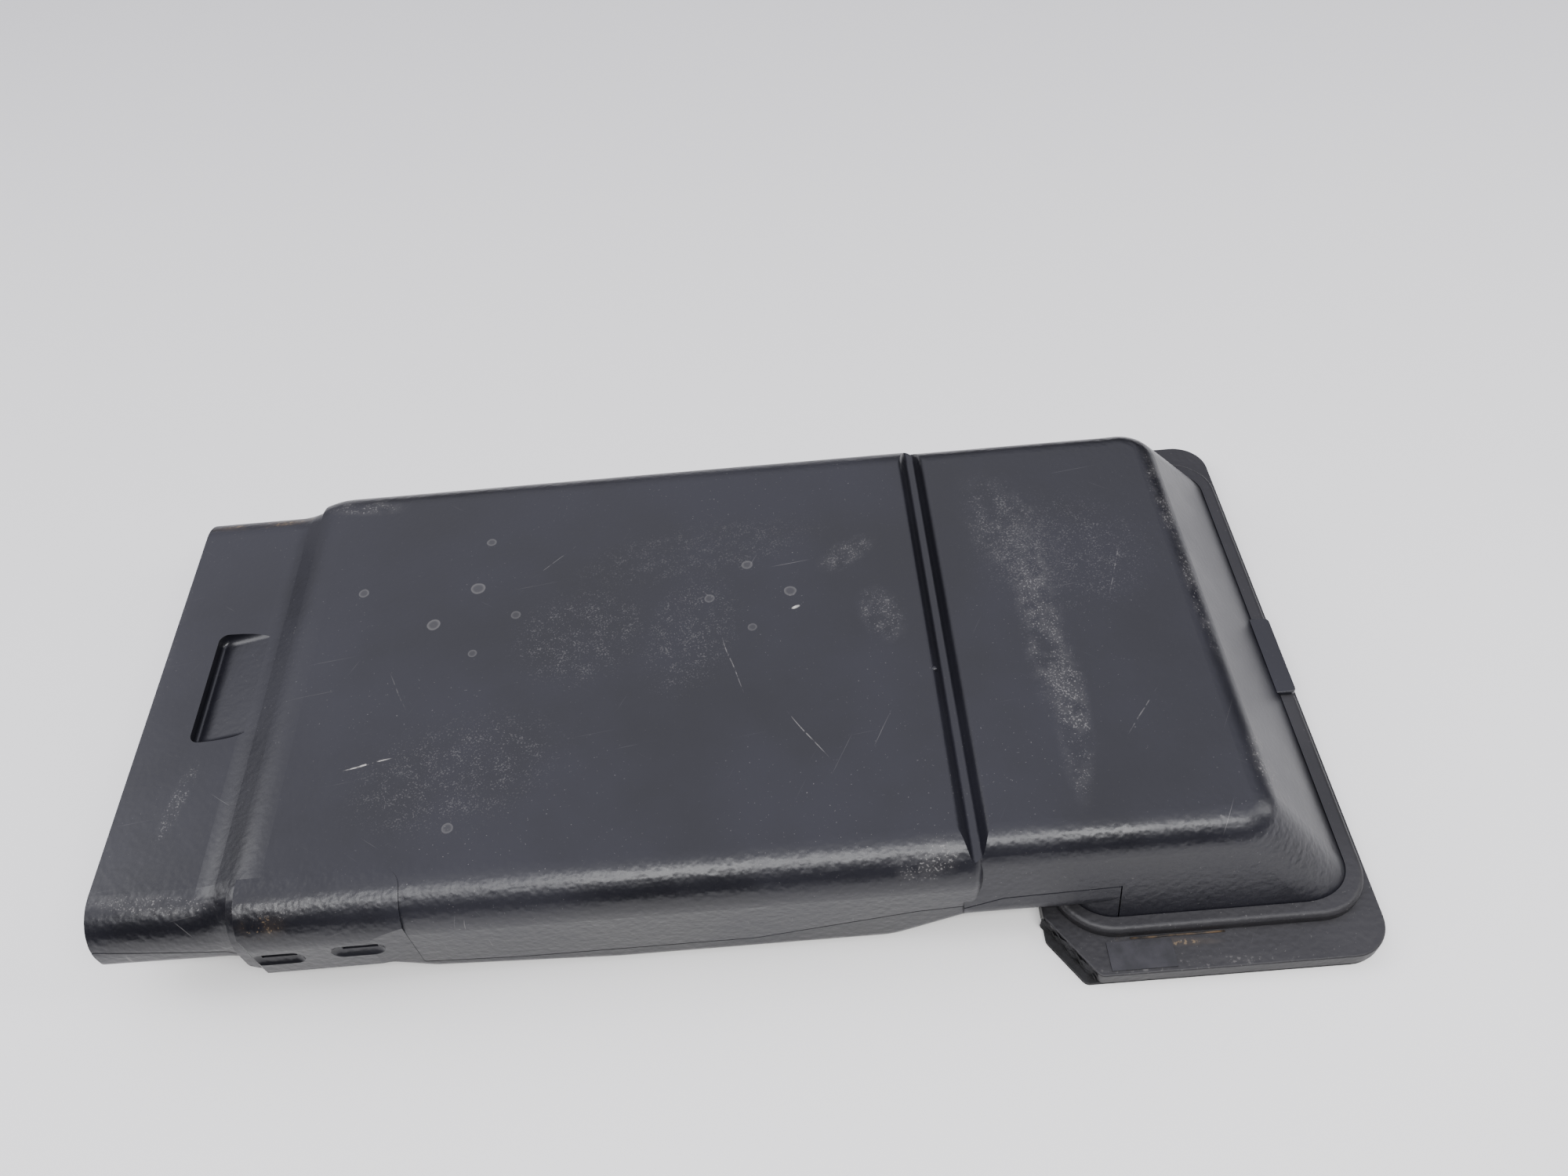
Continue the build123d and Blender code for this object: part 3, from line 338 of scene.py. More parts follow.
        # A waver of up to 4 mm keeps them from running dead straight.
        shifted = add_node(tree, "ShaderNodeVectorMath", {"operation": "MULTIPLY_ADD"},
                           (waver, (4 * MM, 4 * MM, 0.0), place))
        for scratch in self.scratches:
            line = add_node(tree, RANGE, SMOOTH, (scratch.closeness(tree, shifted), 0.0, 0.5,
                                                  0.0, scratch.strength))
            gaps = add_node(tree, NOISE, {}, {"Vector": place, "Scale": 1000 / scratch.grit_mm,
                                              "Detail": 3.0, "Roughness": SOFT})
            gaps = add_node(tree, RANGE, SMOOTH, (gaps, 0.4, 0.55))
            broken = add_node(tree, MATH, MULTIPLY, (line, gaps))
            total = add_node(tree, MATH, MAXIMUM, (total, broken))
        return total

    def hairlines(self, tree: bpy.types.NodeTree, place: bpy.types.NodeSocket
                  ) -> bpy.types.NodeSocket:
        """Draw faint scratches all over, each run in its own direction.

        Args:
            tree: node tree to work in.
            place: position on the piece.

        Returns:
            Share from 0 to 1.
        """
        total: bpy.types.NodeSocket | float = 0.0
        for turn, length_mm, width_mm in self.hair_runs:
            # The turn moves the centre too, so that no two runs share a pattern.
            size = Vector((length_mm, width_mm, self.hair_thickness_mm)) * MM
            along = add_node(tree, MAPPING, ABOUT_CENTRE,
                             {"Vector": place, "Location": Vector((turn, 0.0, 0.0)) * MM,
                              "Rotation": (0.0, 0.0, math.radians(turn)), "Scale": size})
            thin = add_node(tree, NOISE, {}, {"Vector": along, "Scale": 1.0, "Detail": 1.0})
            thin = add_node(tree, RANGE, SMOOTH, (thin, 0.76, 0.82))
            total = add_node(tree, MATH, MAXIMUM, (total, thin))
        here = add_node(tree, NOISE, {}, {"Vector": place, "Scale": 1000 / self.hair_cloud_mm,
                                          "Detail": 2.0, "Roughness": SOFT})
        here = add_node(tree, RANGE, SMOOTH, (here, 0.48, 0.66))
        return add_node(tree, MATH, MULTIPLY, (total, here))

    def build(self) -> bpy.types.Material:
        """Make the material.

        Returns:
            The new material.
        """
        material = bpy.data.materials.new(self.name)
        material.use_nodes = True
        tree = material.node_tree
        shader = tree.nodes["Principled BSDF"]
        place = add_node(tree, COORDINATES, give="Object")
        film = add_node(tree, NOISE, {}, {"Vector": place, "Scale": 1000 / self.film_mm,
                                          "Detail": 5.0, "Roughness": SOFT})
        worn = self.worn(tree, place, self.patches)
        spots = self.dried(tree, place)
        scored = self.scored(tree, place)
        hair = add_node(tree, MATH, MULTIPLY, (self.hairlines(tree, place), self.hair_strength))

        dust = add_node(tree, NOISE, {}, {"Vector": place, "Scale": 1000 / self.dust_mm,
                                          "Detail": 2.0, "Roughness": SOFT})
        dust = add_node(tree, RANGE, SMOOTH, (dust, 0.70, 0.76))
        dusty = add_node(tree, RANGE, SMOOTH, (film, 0.45, 0.6, 0.1, 0.5))
        specks = add_node(tree, MATH, MULTIPLY, (dust, dusty))
        rubs = add_node(tree, MATH, MULTIPLY, (worn, self.rub_strength))
        earth = self.worn(tree, place, self.tan_patches)
        dull = add_node(tree, RANGE, SMOOTH, (film, 0.3, 0.7))
        colour = linear(self.deep)
        for share, over in ((dull, self.dusty), (specks, self.rubbed), (hair, self.rubbed),
                            (rubs, self.rubbed), (earth, self.tan), (spots, self.rubbed),
                            (scored, self.chalk)):
            layers = {0: share, 6: colour, 7: linear(over)}
            colour = add_node(tree, MIX, COLOURS, layers, MIXED)
        tree.links.new(colour, shader.inputs["Base Color"])

        rough = add_node(tree, RANGE, SMOOTH, (film, 0.3, 0.7, self.roughness - 0.04,
                                               self.roughness + 0.06))
        for share, rise in ((worn, 0.2), (spots, 0.25)):
            more = add_node(tree, MATH, MULTIPLY, (share, rise))
            rough = add_node(tree, MATH, ADD, (rough, more))
        tree.links.new(rough, shader.inputs["Roughness"])
        shader.inputs["IOR"].default_value = self.ior

        peel = add_node(tree, NOISE, {}, {"Vector": place, "Scale": 1000 / self.peel_mm,
                                          "Detail": 1.0, "Roughness": 0.4})
        across = add_node(tree, "ShaderNodeSeparateXYZ", {}, (place,), "Y")
        off_middle = add_node(tree, MATH, {"operation": "ABSOLUTE"}, (across, 0.0))
        flat_end, shoulder_end = (edge * MM for edge in self.shoulder_mm)
        # The skin is smoother on the flat top than on the shoulders and sides.
        to_side = add_node(tree, RANGE, SMOOTH, (off_middle, flat_end, shoulder_end,
                                                 self.peel_on_flat, 1.0))
        orange_peel = add_node(tree, MATH, MULTIPLY, (peel, to_side))
        pores = add_node(tree, NOISE, {}, {"Vector": place, "Scale": 1000 / self.pore_mm,
                                           "Detail": 1.0, "Roughness": SOFT})
        sinks = add_node(tree, NOISE, {}, {"Vector": place, "Scale": 1000 / self.sink_mm,
                                           "Detail": 1.0, "Roughness": SOFT})
        cuts = add_node(tree, MATH, ADD, (hair, scored))
        normal = add_node(tree, BUMP, {}, {"Strength": 0.5, "Height": sinks,
                                           "Distance": self.sink_depth_mm * MM})
        normal = add_node(tree, BUMP, {}, {"Strength": 1.0, "Height": orange_peel,
                                           "Distance": self.peel_depth_mm * MM, "Normal": normal})
        normal = add_node(tree, BUMP, {}, {"Strength": 0.35, "Height": pores,
                                           "Distance": self.pore_depth_mm * MM, "Normal": normal})
        normal = add_node(tree, BUMP, {"invert": True},
                          {"Strength": 0.5, "Height": cuts, "Distance": self.cut_depth_mm * MM,
                           "Normal": normal})
        tree.links.new(normal, shader.inputs["Normal"])
        return material


# Each dried drop is its centre, its radius and its strength, in the frame's millimetres.
TOP_SPOTS = (
    WaterSpot((-186, 119, 98), 4.0, 0.28),
    WaterSpot((-192, 71, 98), 5.5, 0.34),
    WaterSpot((-283, 76, 98), 4.0, 0.30),
    WaterSpot((-223, 38, 98), 5.0, 0.34),
    WaterSpot((-160, 41, 98), 4.0, 0.22),
    WaterSpot((-190, 7, 98), 3.5, 0.24),
    WaterSpot((19, 72, 98), 4.5, 0.28),
    WaterSpot((-11, 41, 98), 4.0, 0.24),
    WaterSpot((51, 42, 98), 5.0, 0.28),
    WaterSpot((21, 10, 98), 3.5, 0.22),
    WaterSpot((-191, -140, 98), 4.0, 0.25),
)

# Each worn place below is its centre, its half size, its turn in degrees, its strength, its
# grit's size and the haze between the grit. The same values give a stain or a scratch.
SHELL_WEAR = (
    WornPatch((-388, -172, 82), (62, 9, 14), -6, 0.75, 1.3),
    WornPatch((-300, -186, 88), (50, 9, 14), 0, 0.5, 1.3),
    WornPatch((128, -188, 88), (30, 16, 20), 25, 0.75, 1.6),
    WornPatch((-300, 172, 96), (44, 12, 14), -10, 0.8, 1.5),
    WornPatch((-392, -95, 86), (8, 48, 8), -10, 0.5, 1.4, 0.05),
    WornPatch((-109, 16, 98), (70, 60, 10), 20, 0.30, 1.2, 0.0),
    WornPatch((-26, 11, 98), (46, 76, 10), -15, 0.30, 1.2, 0.0),
    WornPatch((-20, 90, 98), (130, 40, 10), 8, 0.20, 1.2, 0.02),
    WornPatch((97, 76, 98), (32, 16, 10), 35, 0.5, 1.2, 0.12),
    WornPatch((118, 13, 98), (20, 34, 10), 15, 0.5, 1.2, 0.12),
    WornPatch((-190, -96, 98), (100, 60, 10), 15, 0.28, 1.2, 0.0),
    WornPatch((226, 82, 98), (40, 84, 12), 14, 0.40, 1.3, 0.10),
    WornPatch((234, 0, 98), (20, 120, 12), -2, 0.75, 1.4),
    WornPatch((240, -90, 98), (15, 84, 12), -6, 0.7, 1.3, 0.14),
    WornPatch((262, 60, 98), (90, 80, 12), 0, 0.25, 1.2, 0.0),
    WornPatch((352, 110, 96), (10, 66, 14), 0, 0.7, 1.6),
    WornPatch((353, 10, 96), (9, 76, 14), 0, 0.65, 1.6),
    WornPatch((362, -135, 88), (16, 34, 22), 0, 1.0, 1.8),
    WornPatch((402, -150, 40), (14, 40, 30), 0, 0.45, 2.0),
    WornPatch((-434, 40, 60), (8, 150, 40), 0, 0.5, 2.0),
)

SHELL_TAN = (
    WornPatch((-380, 176, 84), (64, 9, 12), 2, 0.85, 3.0),
    WornPatch((-310, -192, 78), (24, 10, 18), 0, 0.6, 2.0),
    WornPatch((430, -70, 30), (8, 40, 12), 0, 0.5, 3.0),
)

LOWER_WEAR = (
    WornPatch((-240, -200, 34), (40, 10, 10), 0, 0.4, 2.5),
    WornPatch((-55, -200, 35), (9, 8, 5), 0, 0.6, 2.0),
)

FLANGE_WEAR = (
    WornPatch((415, -150, 14), (10, 44, 6), 2, 0.55, 3.0),
    WornPatch((300, -240, 14), (90, 6, 6), 0, 0.35, 3.0),
)

FLANGE_TAN = (
    WornPatch((295, -224, 15), (34, 4, 5), -4, 0.55, 3.0),
    WornPatch((256, -226, 15), (6, 14, 6), 0, 0.5, 2.0),
)

SHELL_SCRATCHES = (
    WornPatch((-252, -82, 98), (19, 0.9, 10), 12, 0.6, 5.0),
    WornPatch((6, -18, 98), (34, 0.5, 10), -75, 0.16, 5.0),
    WornPatch((58, -87, 98), (27, 0.5, 10), -57, 0.20, 5.0),
    WornPatch((56, 28, 98), (4, 1.6, 10), 20, 0.8, 9.0),
    WornPatch((-130, 95, 98), (26, 0.4, 10), 42, 0.10, 7.0),
    WornPatch((-240, -20, 98), (22, 0.4, 10), -64, 0.08, 7.0),
    WornPatch((300, 40, 98), (30, 0.5, 10), 70, 0.12, 7.0),
    WornPatch((290, -90, 98), (26, 0.5, 10), 52, 0.12, 7.0),
)


@dataclass(frozen=True)
class WoundFilm:
    """Blue polyester film wrapped round a cell block: glossy, with soft folds."""

    name: str = "wrapped_blue_polyester_film"
    blue: str = "1d4f86"
    pale: str = "2a62a0"
    joint: str = "12304f"
    roughness: float = 0.28
    fold_depth_mm: float = 0.3

    def build(self) -> bpy.types.Material:
        """Make the material.

        Returns:
            The new material.
        """
        material = bpy.data.materials.new(self.name)
        material.use_nodes = True
        tree = material.node_tree
        shader = tree.nodes["Principled BSDF"]
        place = add_node(tree, COORDINATES, give="Object")
        folds = add_node(tree, WAVE, {"bands_direction": "X"},
                         {"Vector": place, "Scale": 12.0, "Distortion": 6.0, "Detail": 2.0}, "Fac")
        # A dark line shows where two cells meet under the film.
        cells = add_node(tree, WAVE, {"bands_direction": "Y", "wave_profile": "SIN"},
                         {"Vector": place, "Scale": 9.0}, "Fac")
        share = add_node(tree, RANGE, SMOOTH, (folds, 0.2, 0.9))
        colour = add_node(tree, MIX, COLOURS, {0: share, 6: linear(self.blue),
                                               7: linear(self.pale)}, MIXED)
        edge = add_node(tree, RANGE, SMOOTH, (cells, 0.0, 0.06, 0.6, 0.0))
        colour = add_node(tree, MIX, COLOURS, {0: edge, 6: colour, 7: linear(self.joint)}, MIXED)
        tree.links.new(colour, shader.inputs["Base Color"])
        shader.inputs["Roughness"].default_value = self.roughness
        slack = add_node(tree, MATH, MULTIPLY, (share, 0.3))
        height = add_node(tree, MATH, ADD, (slack, cells))
        normal = add_node(tree, BUMP, {}, {"Strength": 0.4, "Height": height,
                                           "Distance": self.fold_depth_mm * MM})
        tree.links.new(normal, shader.inputs["Normal"])
        return material


@dataclass(frozen=True)
class SolderMask:
    """Green solder mask over copper tracks: the tracks stand up a little and show lighter."""

    name: str = "green_solder_mask_on_glass_laminate"
    mask: str = "0d3b22"
    over_copper: str = "1f6b3f"
    track_mm: float = 3.0
    track_depth_mm: float = 0.05
    roughness: float = 0.3
    lacquer: float = 0.4

    def build(self) -> bpy.types.Material:
        """Make the material.

        Returns:
            The new material.
        """
        material = bpy.data.materials.new(self.name)
        material.use_nodes = True
        tree = material.node_tree
        shader = tree.nodes["Principled BSDF"]
        place = add_node(tree, COORDINATES, give="Object")
        tracks = add_node(tree, "ShaderNodeTexBrick", {"offset": 0.5},
                          {"Vector": place, "Scale": 250 / self.track_mm, "Color1": (0, 0, 0, 1),
                           "Color2": (0.2, 0.2, 0.2, 1), "Mortar": (1, 1, 1, 1),
                           "Mortar Size": 0.03}, "Fac")
        colour = add_node(tree, MIX, COLOURS, {0: tracks, 6: linear(self.mask),
                                               7: linear(self.over_copper)}, MIXED)
        tree.links.new(colour, shader.inputs["Base Color"])
        shader.inputs["Roughness"].default_value = self.roughness
        shader.inputs["Coat Weight"].default_value = self.lacquer
        normal = add_node(tree, BUMP, {}, {"Strength": 0.5, "Height": tracks,
                                           "Distance": self.track_depth_mm * MM})
        tree.links.new(normal, shader.inputs["Normal"])
        return material


# Extruded EPDM rubber: matt and nearly black, with hardly any grain.
SEAL = Finish("extruded_black_epdm_seal", "0d0d0e", "17171a", 0.7, grain_mm=0.6)

# Cut closed-cell foam: dull, with the open halves of its cells pitting the face.
FOAM = Finish("cut_closed_cell_foam", "121213", "1f1f21", 0.9, patch_mm=8, grain_mm=0.8,
              grain_depth_mm=0.25)

# Butyl tape: smooth and slightly wavy, so it shines more than the moulding under it.
TAPE = Finish("smooth_black_butyl_tape", "1c1c1f", "2b2a2e", 0.38, patch_mm=14, grain_mm=3.0,
              grain_depth_mm=0.1)

# Moulded rubber: soft black with a dull sheen.
RUBBER = Finish("moulded_black_rubber", "0c0c0d", "161617", 0.62, grain_mm=0.5)

# Mill-finish aluminium: a bright grey with faint lines along the rolling direction.
ALUMINIUM = Finish("rolled_aluminium_sheet", "a9abae", "c1c3c6", 0.36, metallic=1.0, patch_mm=60,
                   grain_mm=2.0, grain_depth_mm=0.01, stretch=(0.05, 1.0, 1.0))

# Aged polyurethane sealant: brown, lumpy and half matt.
SEALANT = Finish("aged_polyurethane_sealant", "52412d", "1f1c1a", 0.6, patch_mm=7, grain_mm=1.5,
                 grain_depth_mm=0.3)

# Glass-filled nylon: dark, with the fine dull grain of the fibres at the skin.
NYLON = Finish("moulded_glass_filled_nylon", "1a1a1c", "26262a", 0.55, grain_mm=0.7,
               grain_depth_mm=0.05)

# Zinc plating: a warm silver that shines softly and unevenly.
ZINC = Finish("zinc_plated_steel", "b4b3a8", "cfcdbf", 0.3, metallic=1.0, patch_mm=6, grain_mm=0.8,
              grain_depth_mm=0.01)

# Rolled copper strip: pinkish brown, streaked along its length.
COPPER = Finish("rolled_copper_strip", "b8714a", "cf8a5f", 0.3, metallic=1.0, patch_mm=18,
                grain_mm=1.2, grain_depth_mm=0.01, stretch=(0.1, 1.0, 1.0))

# Glazed ceramic: cream and glossy.
CERAMIC = Finish("glazed_fuse_ceramic", "cfc9ba", "ddd8cc", 0.25)

# Anodised aluminium: gold coloured with a satin shine.
GOLD_ANODISED = Finish("anodised_gold_aluminium", "b58e45", "c69f55", 0.35, metallic=1.0)


def dress(nodes: dict, names: tuple[str, ...], material: bpy.types.Material) -> None:
    """Give named solids a material.

    Args:
        nodes: the frame's solids by name.
        names: which of them.
        material: what they are made of.
    """
    for name in names:
        solid = nodes[name]
        solid.data.materials.clear()
        solid.data.materials.append(material)
        log.info("%s: %s", name, material.name)


def finish_piece(mesh: bmesh.types.BMesh, name: str, material: bpy.types.Material, body: Body) -> bpy.types.Object:
    """Turn a finished bmesh into a piece that rides on a body.

    Args:
        mesh: the shape, in metres in the row frame; it is freed.
        name: name of the piece.
        material: what it is made of.
        body: what it moves with.

    Returns:
        The new object.
    """
    bmesh.ops.recalc_face_normals(mesh, faces=mesh.faces)
    for face in mesh.faces:
        face.smooth = True
    data = bpy.data.meshes.new(name)
    mesh.to_mesh(data)
    mesh.free()
    data.materials.append(material)
    piece = bpy.data.objects.new(name, data)
    bpy.context.scene.collection.objects.link(piece)
    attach(piece, body.value)
    log.info("%s rides on %s", name, body.value)
    return piece


@dataclass
class ShellPair:
    """Upper and lower shell with their latches, the seal between them and the foam pads."""

    finish: MouldedShell = MouldedShell(
        patches=SHELL_WEAR, tan_patches=SHELL_TAN, spots=TOP_SPOTS, scratches=SHELL_SCRATCHES)
    lower_finish: MouldedShell = MouldedShell(
        name="moulded_black_polyethylene_lower", roughness=0.4, patches=LOWER_WEAR)
    foam_nodes: tuple[str, ...] = ("cover_pads", "module_pads", "flange_gasket")
    foam_fill: float = 1.0

    def build(self, nodes: dict) -> None:
        """Dress the shells, the latches, the seal and the foam, and add what has worked loose.

        Args:
            nodes: the frame's solids by name.
        """
        upper = self.finish.build()
        dress(nodes, ("upper_shell", "end_latch", "side_latch_1", "side_latch_2"), upper)
        dress(nodes, ("lower_shell",), self.lower_finish.build())
        dress(nodes, ("seam_gasket",), SEAL.build())
        foam = FOAM.build()
        dress(nodes, self.foam_nodes, foam)
        TornFoam().build(foam)
        CollarSealant().build()


@dataclass
class FlangedEnd:
    """Flange with its raised collar, tape, end plate and everything fixed on the plate."""

    finish: MouldedShell = MouldedShell(
        name="moulded_black_polyethylene_flange", deep="141316", dusty="242326", roughness=0.5,
        patches=FLANGE_WEAR, tan_patches=FLANGE_TAN)

    def build(self, nodes: dict) -> None:
        """Dress the flange, its tape, the plate and the grommets.

        Args:
            nodes: the frame's solids by name.
        """
        dress(nodes, ("mounting_flange",), self.finish.build())
        dress(nodes, ("edge_tape",), TAPE.build())
        dress(nodes, ("power_grommet_1", "power_grommet_2", "signal_grommet"), RUBBER.build())
        dress(nodes, ("end_plate", "stack_angles", "switch_deck", "board_heatsink"),
              ALUMINIUM.build())


@dataclass(frozen=True)
class FoamStrip:
    """One strip of torn foam: its edges' heights, its reach and how quickly it waves."""

    low_mm: float
    high_mm: float
    reach_mm: float
    beat: float


@dataclass
class TornFoam:
    """Ragged strips of foam gasket that hang out at the flange's near chamfer."""

    start_mm: tuple[float, float] = (208.0, -198.0)
    end_mm: tuple[float, float] = (236.0, -241.0)
    strips: tuple[FoamStrip, ...] = (
        FoamStrip(2.0, 5.0, 2.6, 1.7),
        FoamStrip(5.5, 9.2, 2.2, 4.1),
        FoamStrip(9.5, 12.8, 1.8, 2.9),
    )
    gap_mm: float = 0.6
    thickness_mm: float = 1.4
    top_fray_mm: float = 0.9
    foot_fray_mm: float = 0.5
    fill: float = 1.0
    segments: int = 26

    def build(self, material: bpy.types.Material) -> None:
        """Make the strips.

        Args:
            material: the cut foam they are made of.
        """
        for number, strip in enumerate(self.strips, start=1):
            self.ribbon(f"torn_foam_strip_{number}", strip, material)

    def ribbon(self, name: str, strip: FoamStrip, material: bpy.types.Material) -> None:
        """Make one strip as a thin ribbon that waves along the chamfer.

        Args:
            name: name of the piece.
            strip: its heights, reach and beat.
            material: what it is made of.
        """
        start = Vector((*self.start_mm, 0))
        run = Vector((*self.end_mm, 0)) - start
        out = Vector((run.y, -run.x, 0)).normalized()
        mesh = bmesh.new()
        bmesh.ops.create_grid(mesh, x_segments=self.segments, y_segments=2, size=0.5)
        for vert in mesh.verts:
            along = vert.co.x + 0.5
            share = vert.co.y + 0.5
            # Two waves of different pace keep the torn edge from repeating.
            ragged = (0.5 * math.sin(along * 23 * strip.beat)
                      + 0.5 * math.sin(along * 41 + strip.beat))
            fray = self.top_fray_mm if share > 0.5 else -self.foot_fray_mm
            curl = 0.55 + 0.45 * math.sin(along * 6 * strip.beat + share * 2)
            spot = start + run * along + out * (strip.reach_mm * curl + self.gap_mm)
            rise = strip.low_mm + (strip.high_mm - strip.low_mm) * share + ragged * fray
            vert.co = Vector((spot.x, spot.y, rise)) * MM
        bmesh.ops.solidify(mesh, geom=mesh.faces[:] + mesh.edges[:] + mesh.verts[:],
                           thickness=self.thickness_mm * MM)
        bmesh.ops.subdivide_edges(mesh, edges=mesh.edges[:], cuts=1, smooth=0.6,
                                  use_grid_fill=True)
        piece = finish_piece(mesh, name, material, Body.BASE)


@dataclass
class CollarSealant:
    """Old brown sealant squeezed out along the foot of the collar, on the near side."""

    route_mm: tuple[tuple[float, float], ...] = (
        (262.0, -219.0), (276.0, -219.3), (292.0, -219.0), (308.0, -219.3), (326.0, -219.1),
    )
    height_mm: float = 14.3
    radius_mm: float = 0.7
    sides: int = 10

    def build(self) -> None:
        """Make the bead, one length after another along its route."""
        mesh = bmesh.new()
        bmesh.ops.create_circle(mesh, cap_ends=True, segments=self.sides,
                                radius=self.radius_mm * MM)
        across = Matrix.Rotation(math.pi / 2, 3, "Y")
        bmesh.ops.rotate(mesh, verts=mesh.verts, cent=(0, 0, 0), matrix=across)
        first = Vector((*self.route_mm[0], self.height_mm)) * MM
        bmesh.ops.translate(mesh, verts=mesh.verts, vec=first)
        mesh.faces.ensure_lookup_table()
        cap = mesh.faces[0]
        for before, after in zip(self.route_mm, self.route_mm[1:]):
            grown = bmesh.ops.extrude_face_region(mesh, geom=[cap])["geom"]
            step = (Vector((*after, 0)) - Vector((*before, 0))) * MM
            verts = [part for part in grown if isinstance(part, bmesh.types.BMVert)]
            bmesh.ops.translate(mesh, verts=verts, vec=step)
            cap = next(part for part in grown if isinstance(part, bmesh.types.BMFace))
        finish_piece(mesh, "collar_sealant", SEALANT.build(), Body.BASE)


@dataclass
class PackInterior:
    """Cell modules, their links and the switchgear, seen when the upper shell is lifted."""

    modules: int = 5

    def build(self, nodes: dict) -> None:
        """Dress everything inside the box.

        Args:
            nodes: the frame's solids by name.
        """
        modules = range(1, self.modules + 1)
        nylon = NYLON.build()
        dress(nodes, tuple(f"cell_module_{n}" for n in modules), WoundFilm().build())
        dress(nodes, tuple(f"terminal_block_{n}" for n in modules), nylon)
        dress(nodes, ("support_rails", "contactor", "fuse_base", "shunt_base", "board_connectors",
                      "breather_vent"), nylon)
        dress(nodes, ("plate_screws", "terminal_nuts", "terminal_studs", "switch_studs",
                      "switch_nuts", "deck_screws", "deck_spacers", "board_standoffs"),
              ZINC.build())
        dress(nodes, ("link_bar_1", "link_bar_2", "link_bar_3", "link_bar_4", "bus_positive",
                      "bus_negative", "bus_fuse", "current_shunt"), COPPER.build())
        dress(nodes, ("sense_board_1", "sense_board_2", "management_board"), SolderMask().build())
        dress(nodes, ("fuse_link",), CERAMIC.build())
        dress(nodes, ("precharge_resistor",), GOLD_ANODISED.build())


@dataclass(frozen=True)
class Softbox:
    """A rectangular light: its place and size in metres, and its power in watts."""

    name: str
    place: tuple[float, float, float]
    size: tuple[float, float]
    power: float


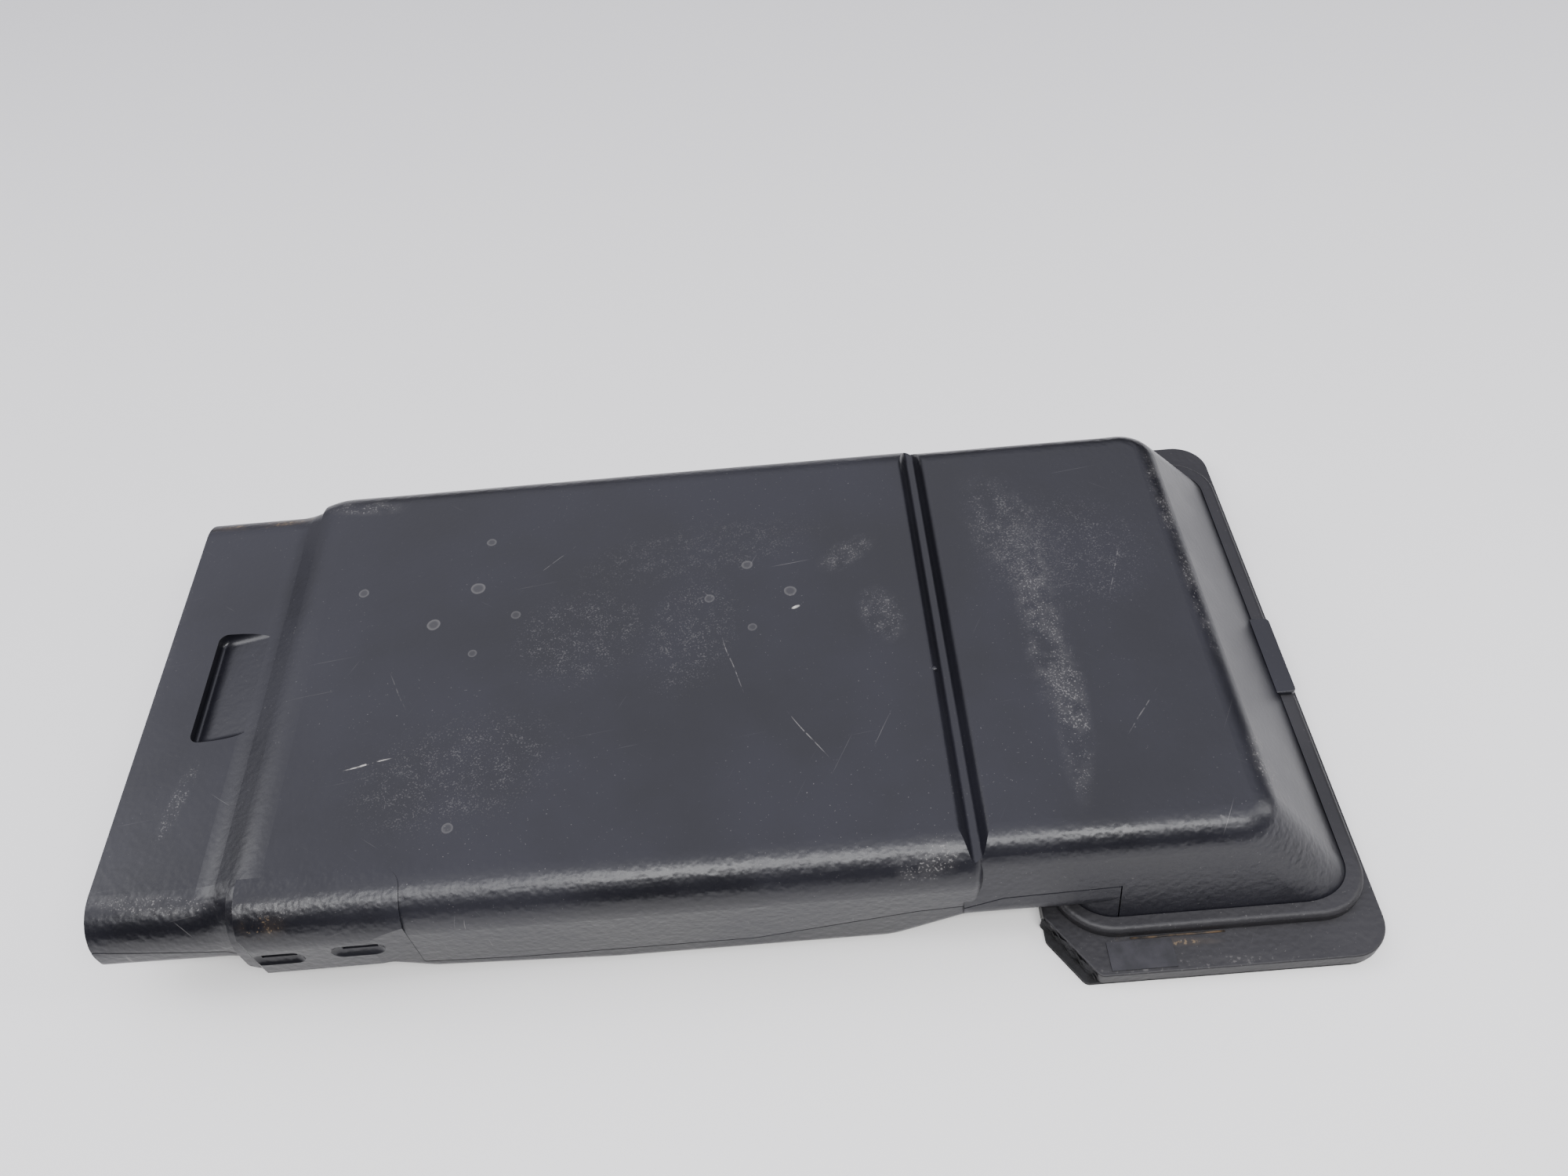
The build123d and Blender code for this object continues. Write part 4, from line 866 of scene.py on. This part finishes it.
@dataclass
class Studio:
    """Pale floor, soft light and the camera.

    The sky is brightest overhead and a little behind the box, and fades towards the horizon.
    """

    camera_at: tuple[float, float, float] = (0.0594, -0.5611, 0.8204)
    forward: tuple[float, float, float] = (-0.01363, 0.64289, -0.76584)
    right: tuple[float, float, float] = (0.99639, -0.05548, -0.06430)
    lens_mm: float = 28.26
    sensor_mm: float = 36.0
    near_limit: float = 0.01
    floor_shade: str = "f2f1ef"
    floor_half: float = 6.0
    floor_roughness: float = 0.8
    sky_shade: str = "eeeefc"
    brightest: tuple[float, float, float] = (-0.18, 0.30, 1.0)
    fade_window: tuple[float, float] = (0.40, 0.96)
    low_sky: float = 0.04
    high_sky: float = 1.72
    backdrop: float = 0.8
    aim: tuple[float, float, float] = (0.0, 0.0, 0.05)
    lamps: tuple[Softbox, ...] = (
        Softbox("front_softbox", (0.1, -1.15, 1.9), (2.6, 0.45), 60.0),
        Softbox("side_softbox", (2.0, -0.2, 1.3), (0.5, 1.4), 16.0),
        Softbox("window", (-1.9, 0.3, 1.4), (1.0, 1.0), 14.0),
    )

    def build(self, floor_z: float) -> None:
        """Set up the floor, the lights and the camera.

        Args:
            floor_z: height of the floor under the object.
        """
        self.lay_floor(floor_z)
        self.open_sky()
        self.hang_lamps()
        self.place_camera()

    def lay_floor(self, floor_z: float) -> None:
        """Lay a wide pale floor.

        Args:
            floor_z: its height.
        """
        mesh = bmesh.new()
        bmesh.ops.create_grid(mesh, x_segments=1, y_segments=1, size=self.floor_half)
        bmesh.ops.translate(mesh, verts=mesh.verts, vec=(0, 0, floor_z))
        data = bpy.data.meshes.new("floor")
        mesh.to_mesh(data)
        mesh.free()
        paper = bpy.data.materials.new("pale_studio_floor")
        paper.use_nodes = True
        shader = paper.node_tree.nodes["Principled BSDF"]
        shader.inputs["Base Color"].default_value = linear(self.floor_shade)
        shader.inputs["Roughness"].default_value = self.floor_roughness
        data.materials.append(paper)
        floor = bpy.data.objects.new("floor", data)
        bpy.context.scene.collection.objects.link(floor)
        floor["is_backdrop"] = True

    def open_sky(self) -> None:
        """Make the soft sky, with a plain pale backdrop where it is seen directly."""
        world = bpy.data.worlds.new("soft_room")
        world.use_nodes = True
        tree = world.node_tree
        sky = tree.nodes["Background"]
        around = add_node(tree, COORDINATES, give="Generated")
        towards = add_node(tree, "ShaderNodeVectorMath", {"operation": "DOT_PRODUCT"},
                           (around, self.brightest), "Value")
        glow = add_node(tree, RANGE, SMOOTH, (towards, *self.fade_window,
                                              self.low_sky, self.high_sky))
        seen = add_node(tree, "ShaderNodeLightPath", give="Is Camera Ray")
        plain = add_node(tree, MATH, MULTIPLY, (seen, self.backdrop))
        glow = add_node(tree, MATH, MAXIMUM, (glow, plain))
        tree.links.new(glow, sky.inputs["Strength"])
        sky.inputs["Color"].default_value = linear(self.sky_shade)
        bpy.context.scene.world = world

    def hang_lamps(self) -> None:
        """Hang the softboxes and aim them at the middle of the box."""
        for box in self.lamps:
            lamp = bpy.data.lights.new(box.name, "AREA")
            lamp.shape = "RECTANGLE"
            lamp.size, lamp.size_y = box.size
            lamp.energy = box.power
            holder = bpy.data.objects.new(box.name, lamp)
            towards = Vector(self.aim) - Vector(box.place)
            holder.rotation_euler = towards.to_track_quat("-Z", "Y").to_euler()
            holder.location = box.place
            bpy.context.scene.collection.objects.link(holder)

    def place_camera(self) -> None:
        """Put the camera where it looks down on the near long side."""
        camera = bpy.data.cameras.new("camera")
        camera.lens = self.lens_mm
        camera.sensor_width = self.sensor_mm
        camera.clip_start = self.near_limit
        holder = bpy.data.objects.new("camera", camera)
        ahead = Vector(self.forward).normalized()
        side = Vector(self.right)
        side = (side - side.dot(ahead) * ahead).normalized()
        up = side.cross(ahead)
        turn = Matrix((side, up, -ahead)).transposed().to_4x4()
        holder.matrix_world = Matrix.Translation(self.camera_at) @ turn
        bpy.context.scene.collection.objects.link(holder)
        bpy.context.scene.camera = holder


def corners(bounds: tuple[Vector, Vector]) -> list[list[float]]:
    """Give the two corners of a box as plain lists."""
    return [list(bounds[0]), list(bounds[1])]


def main() -> None:
    """Load the frame, dress every sub-assembly and set up the studio."""
    logging.basicConfig(level=logging.INFO, format="%(message)s")
    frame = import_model()
    cad_box = corners(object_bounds())
    nodes = frame["nodes"]
    ShellPair().build(nodes)
    FlangedEnd().build(nodes)
    PackInterior().build(nodes)
    Studio().build(cad_box[0][2])


if __name__ == "__main__":
    main()
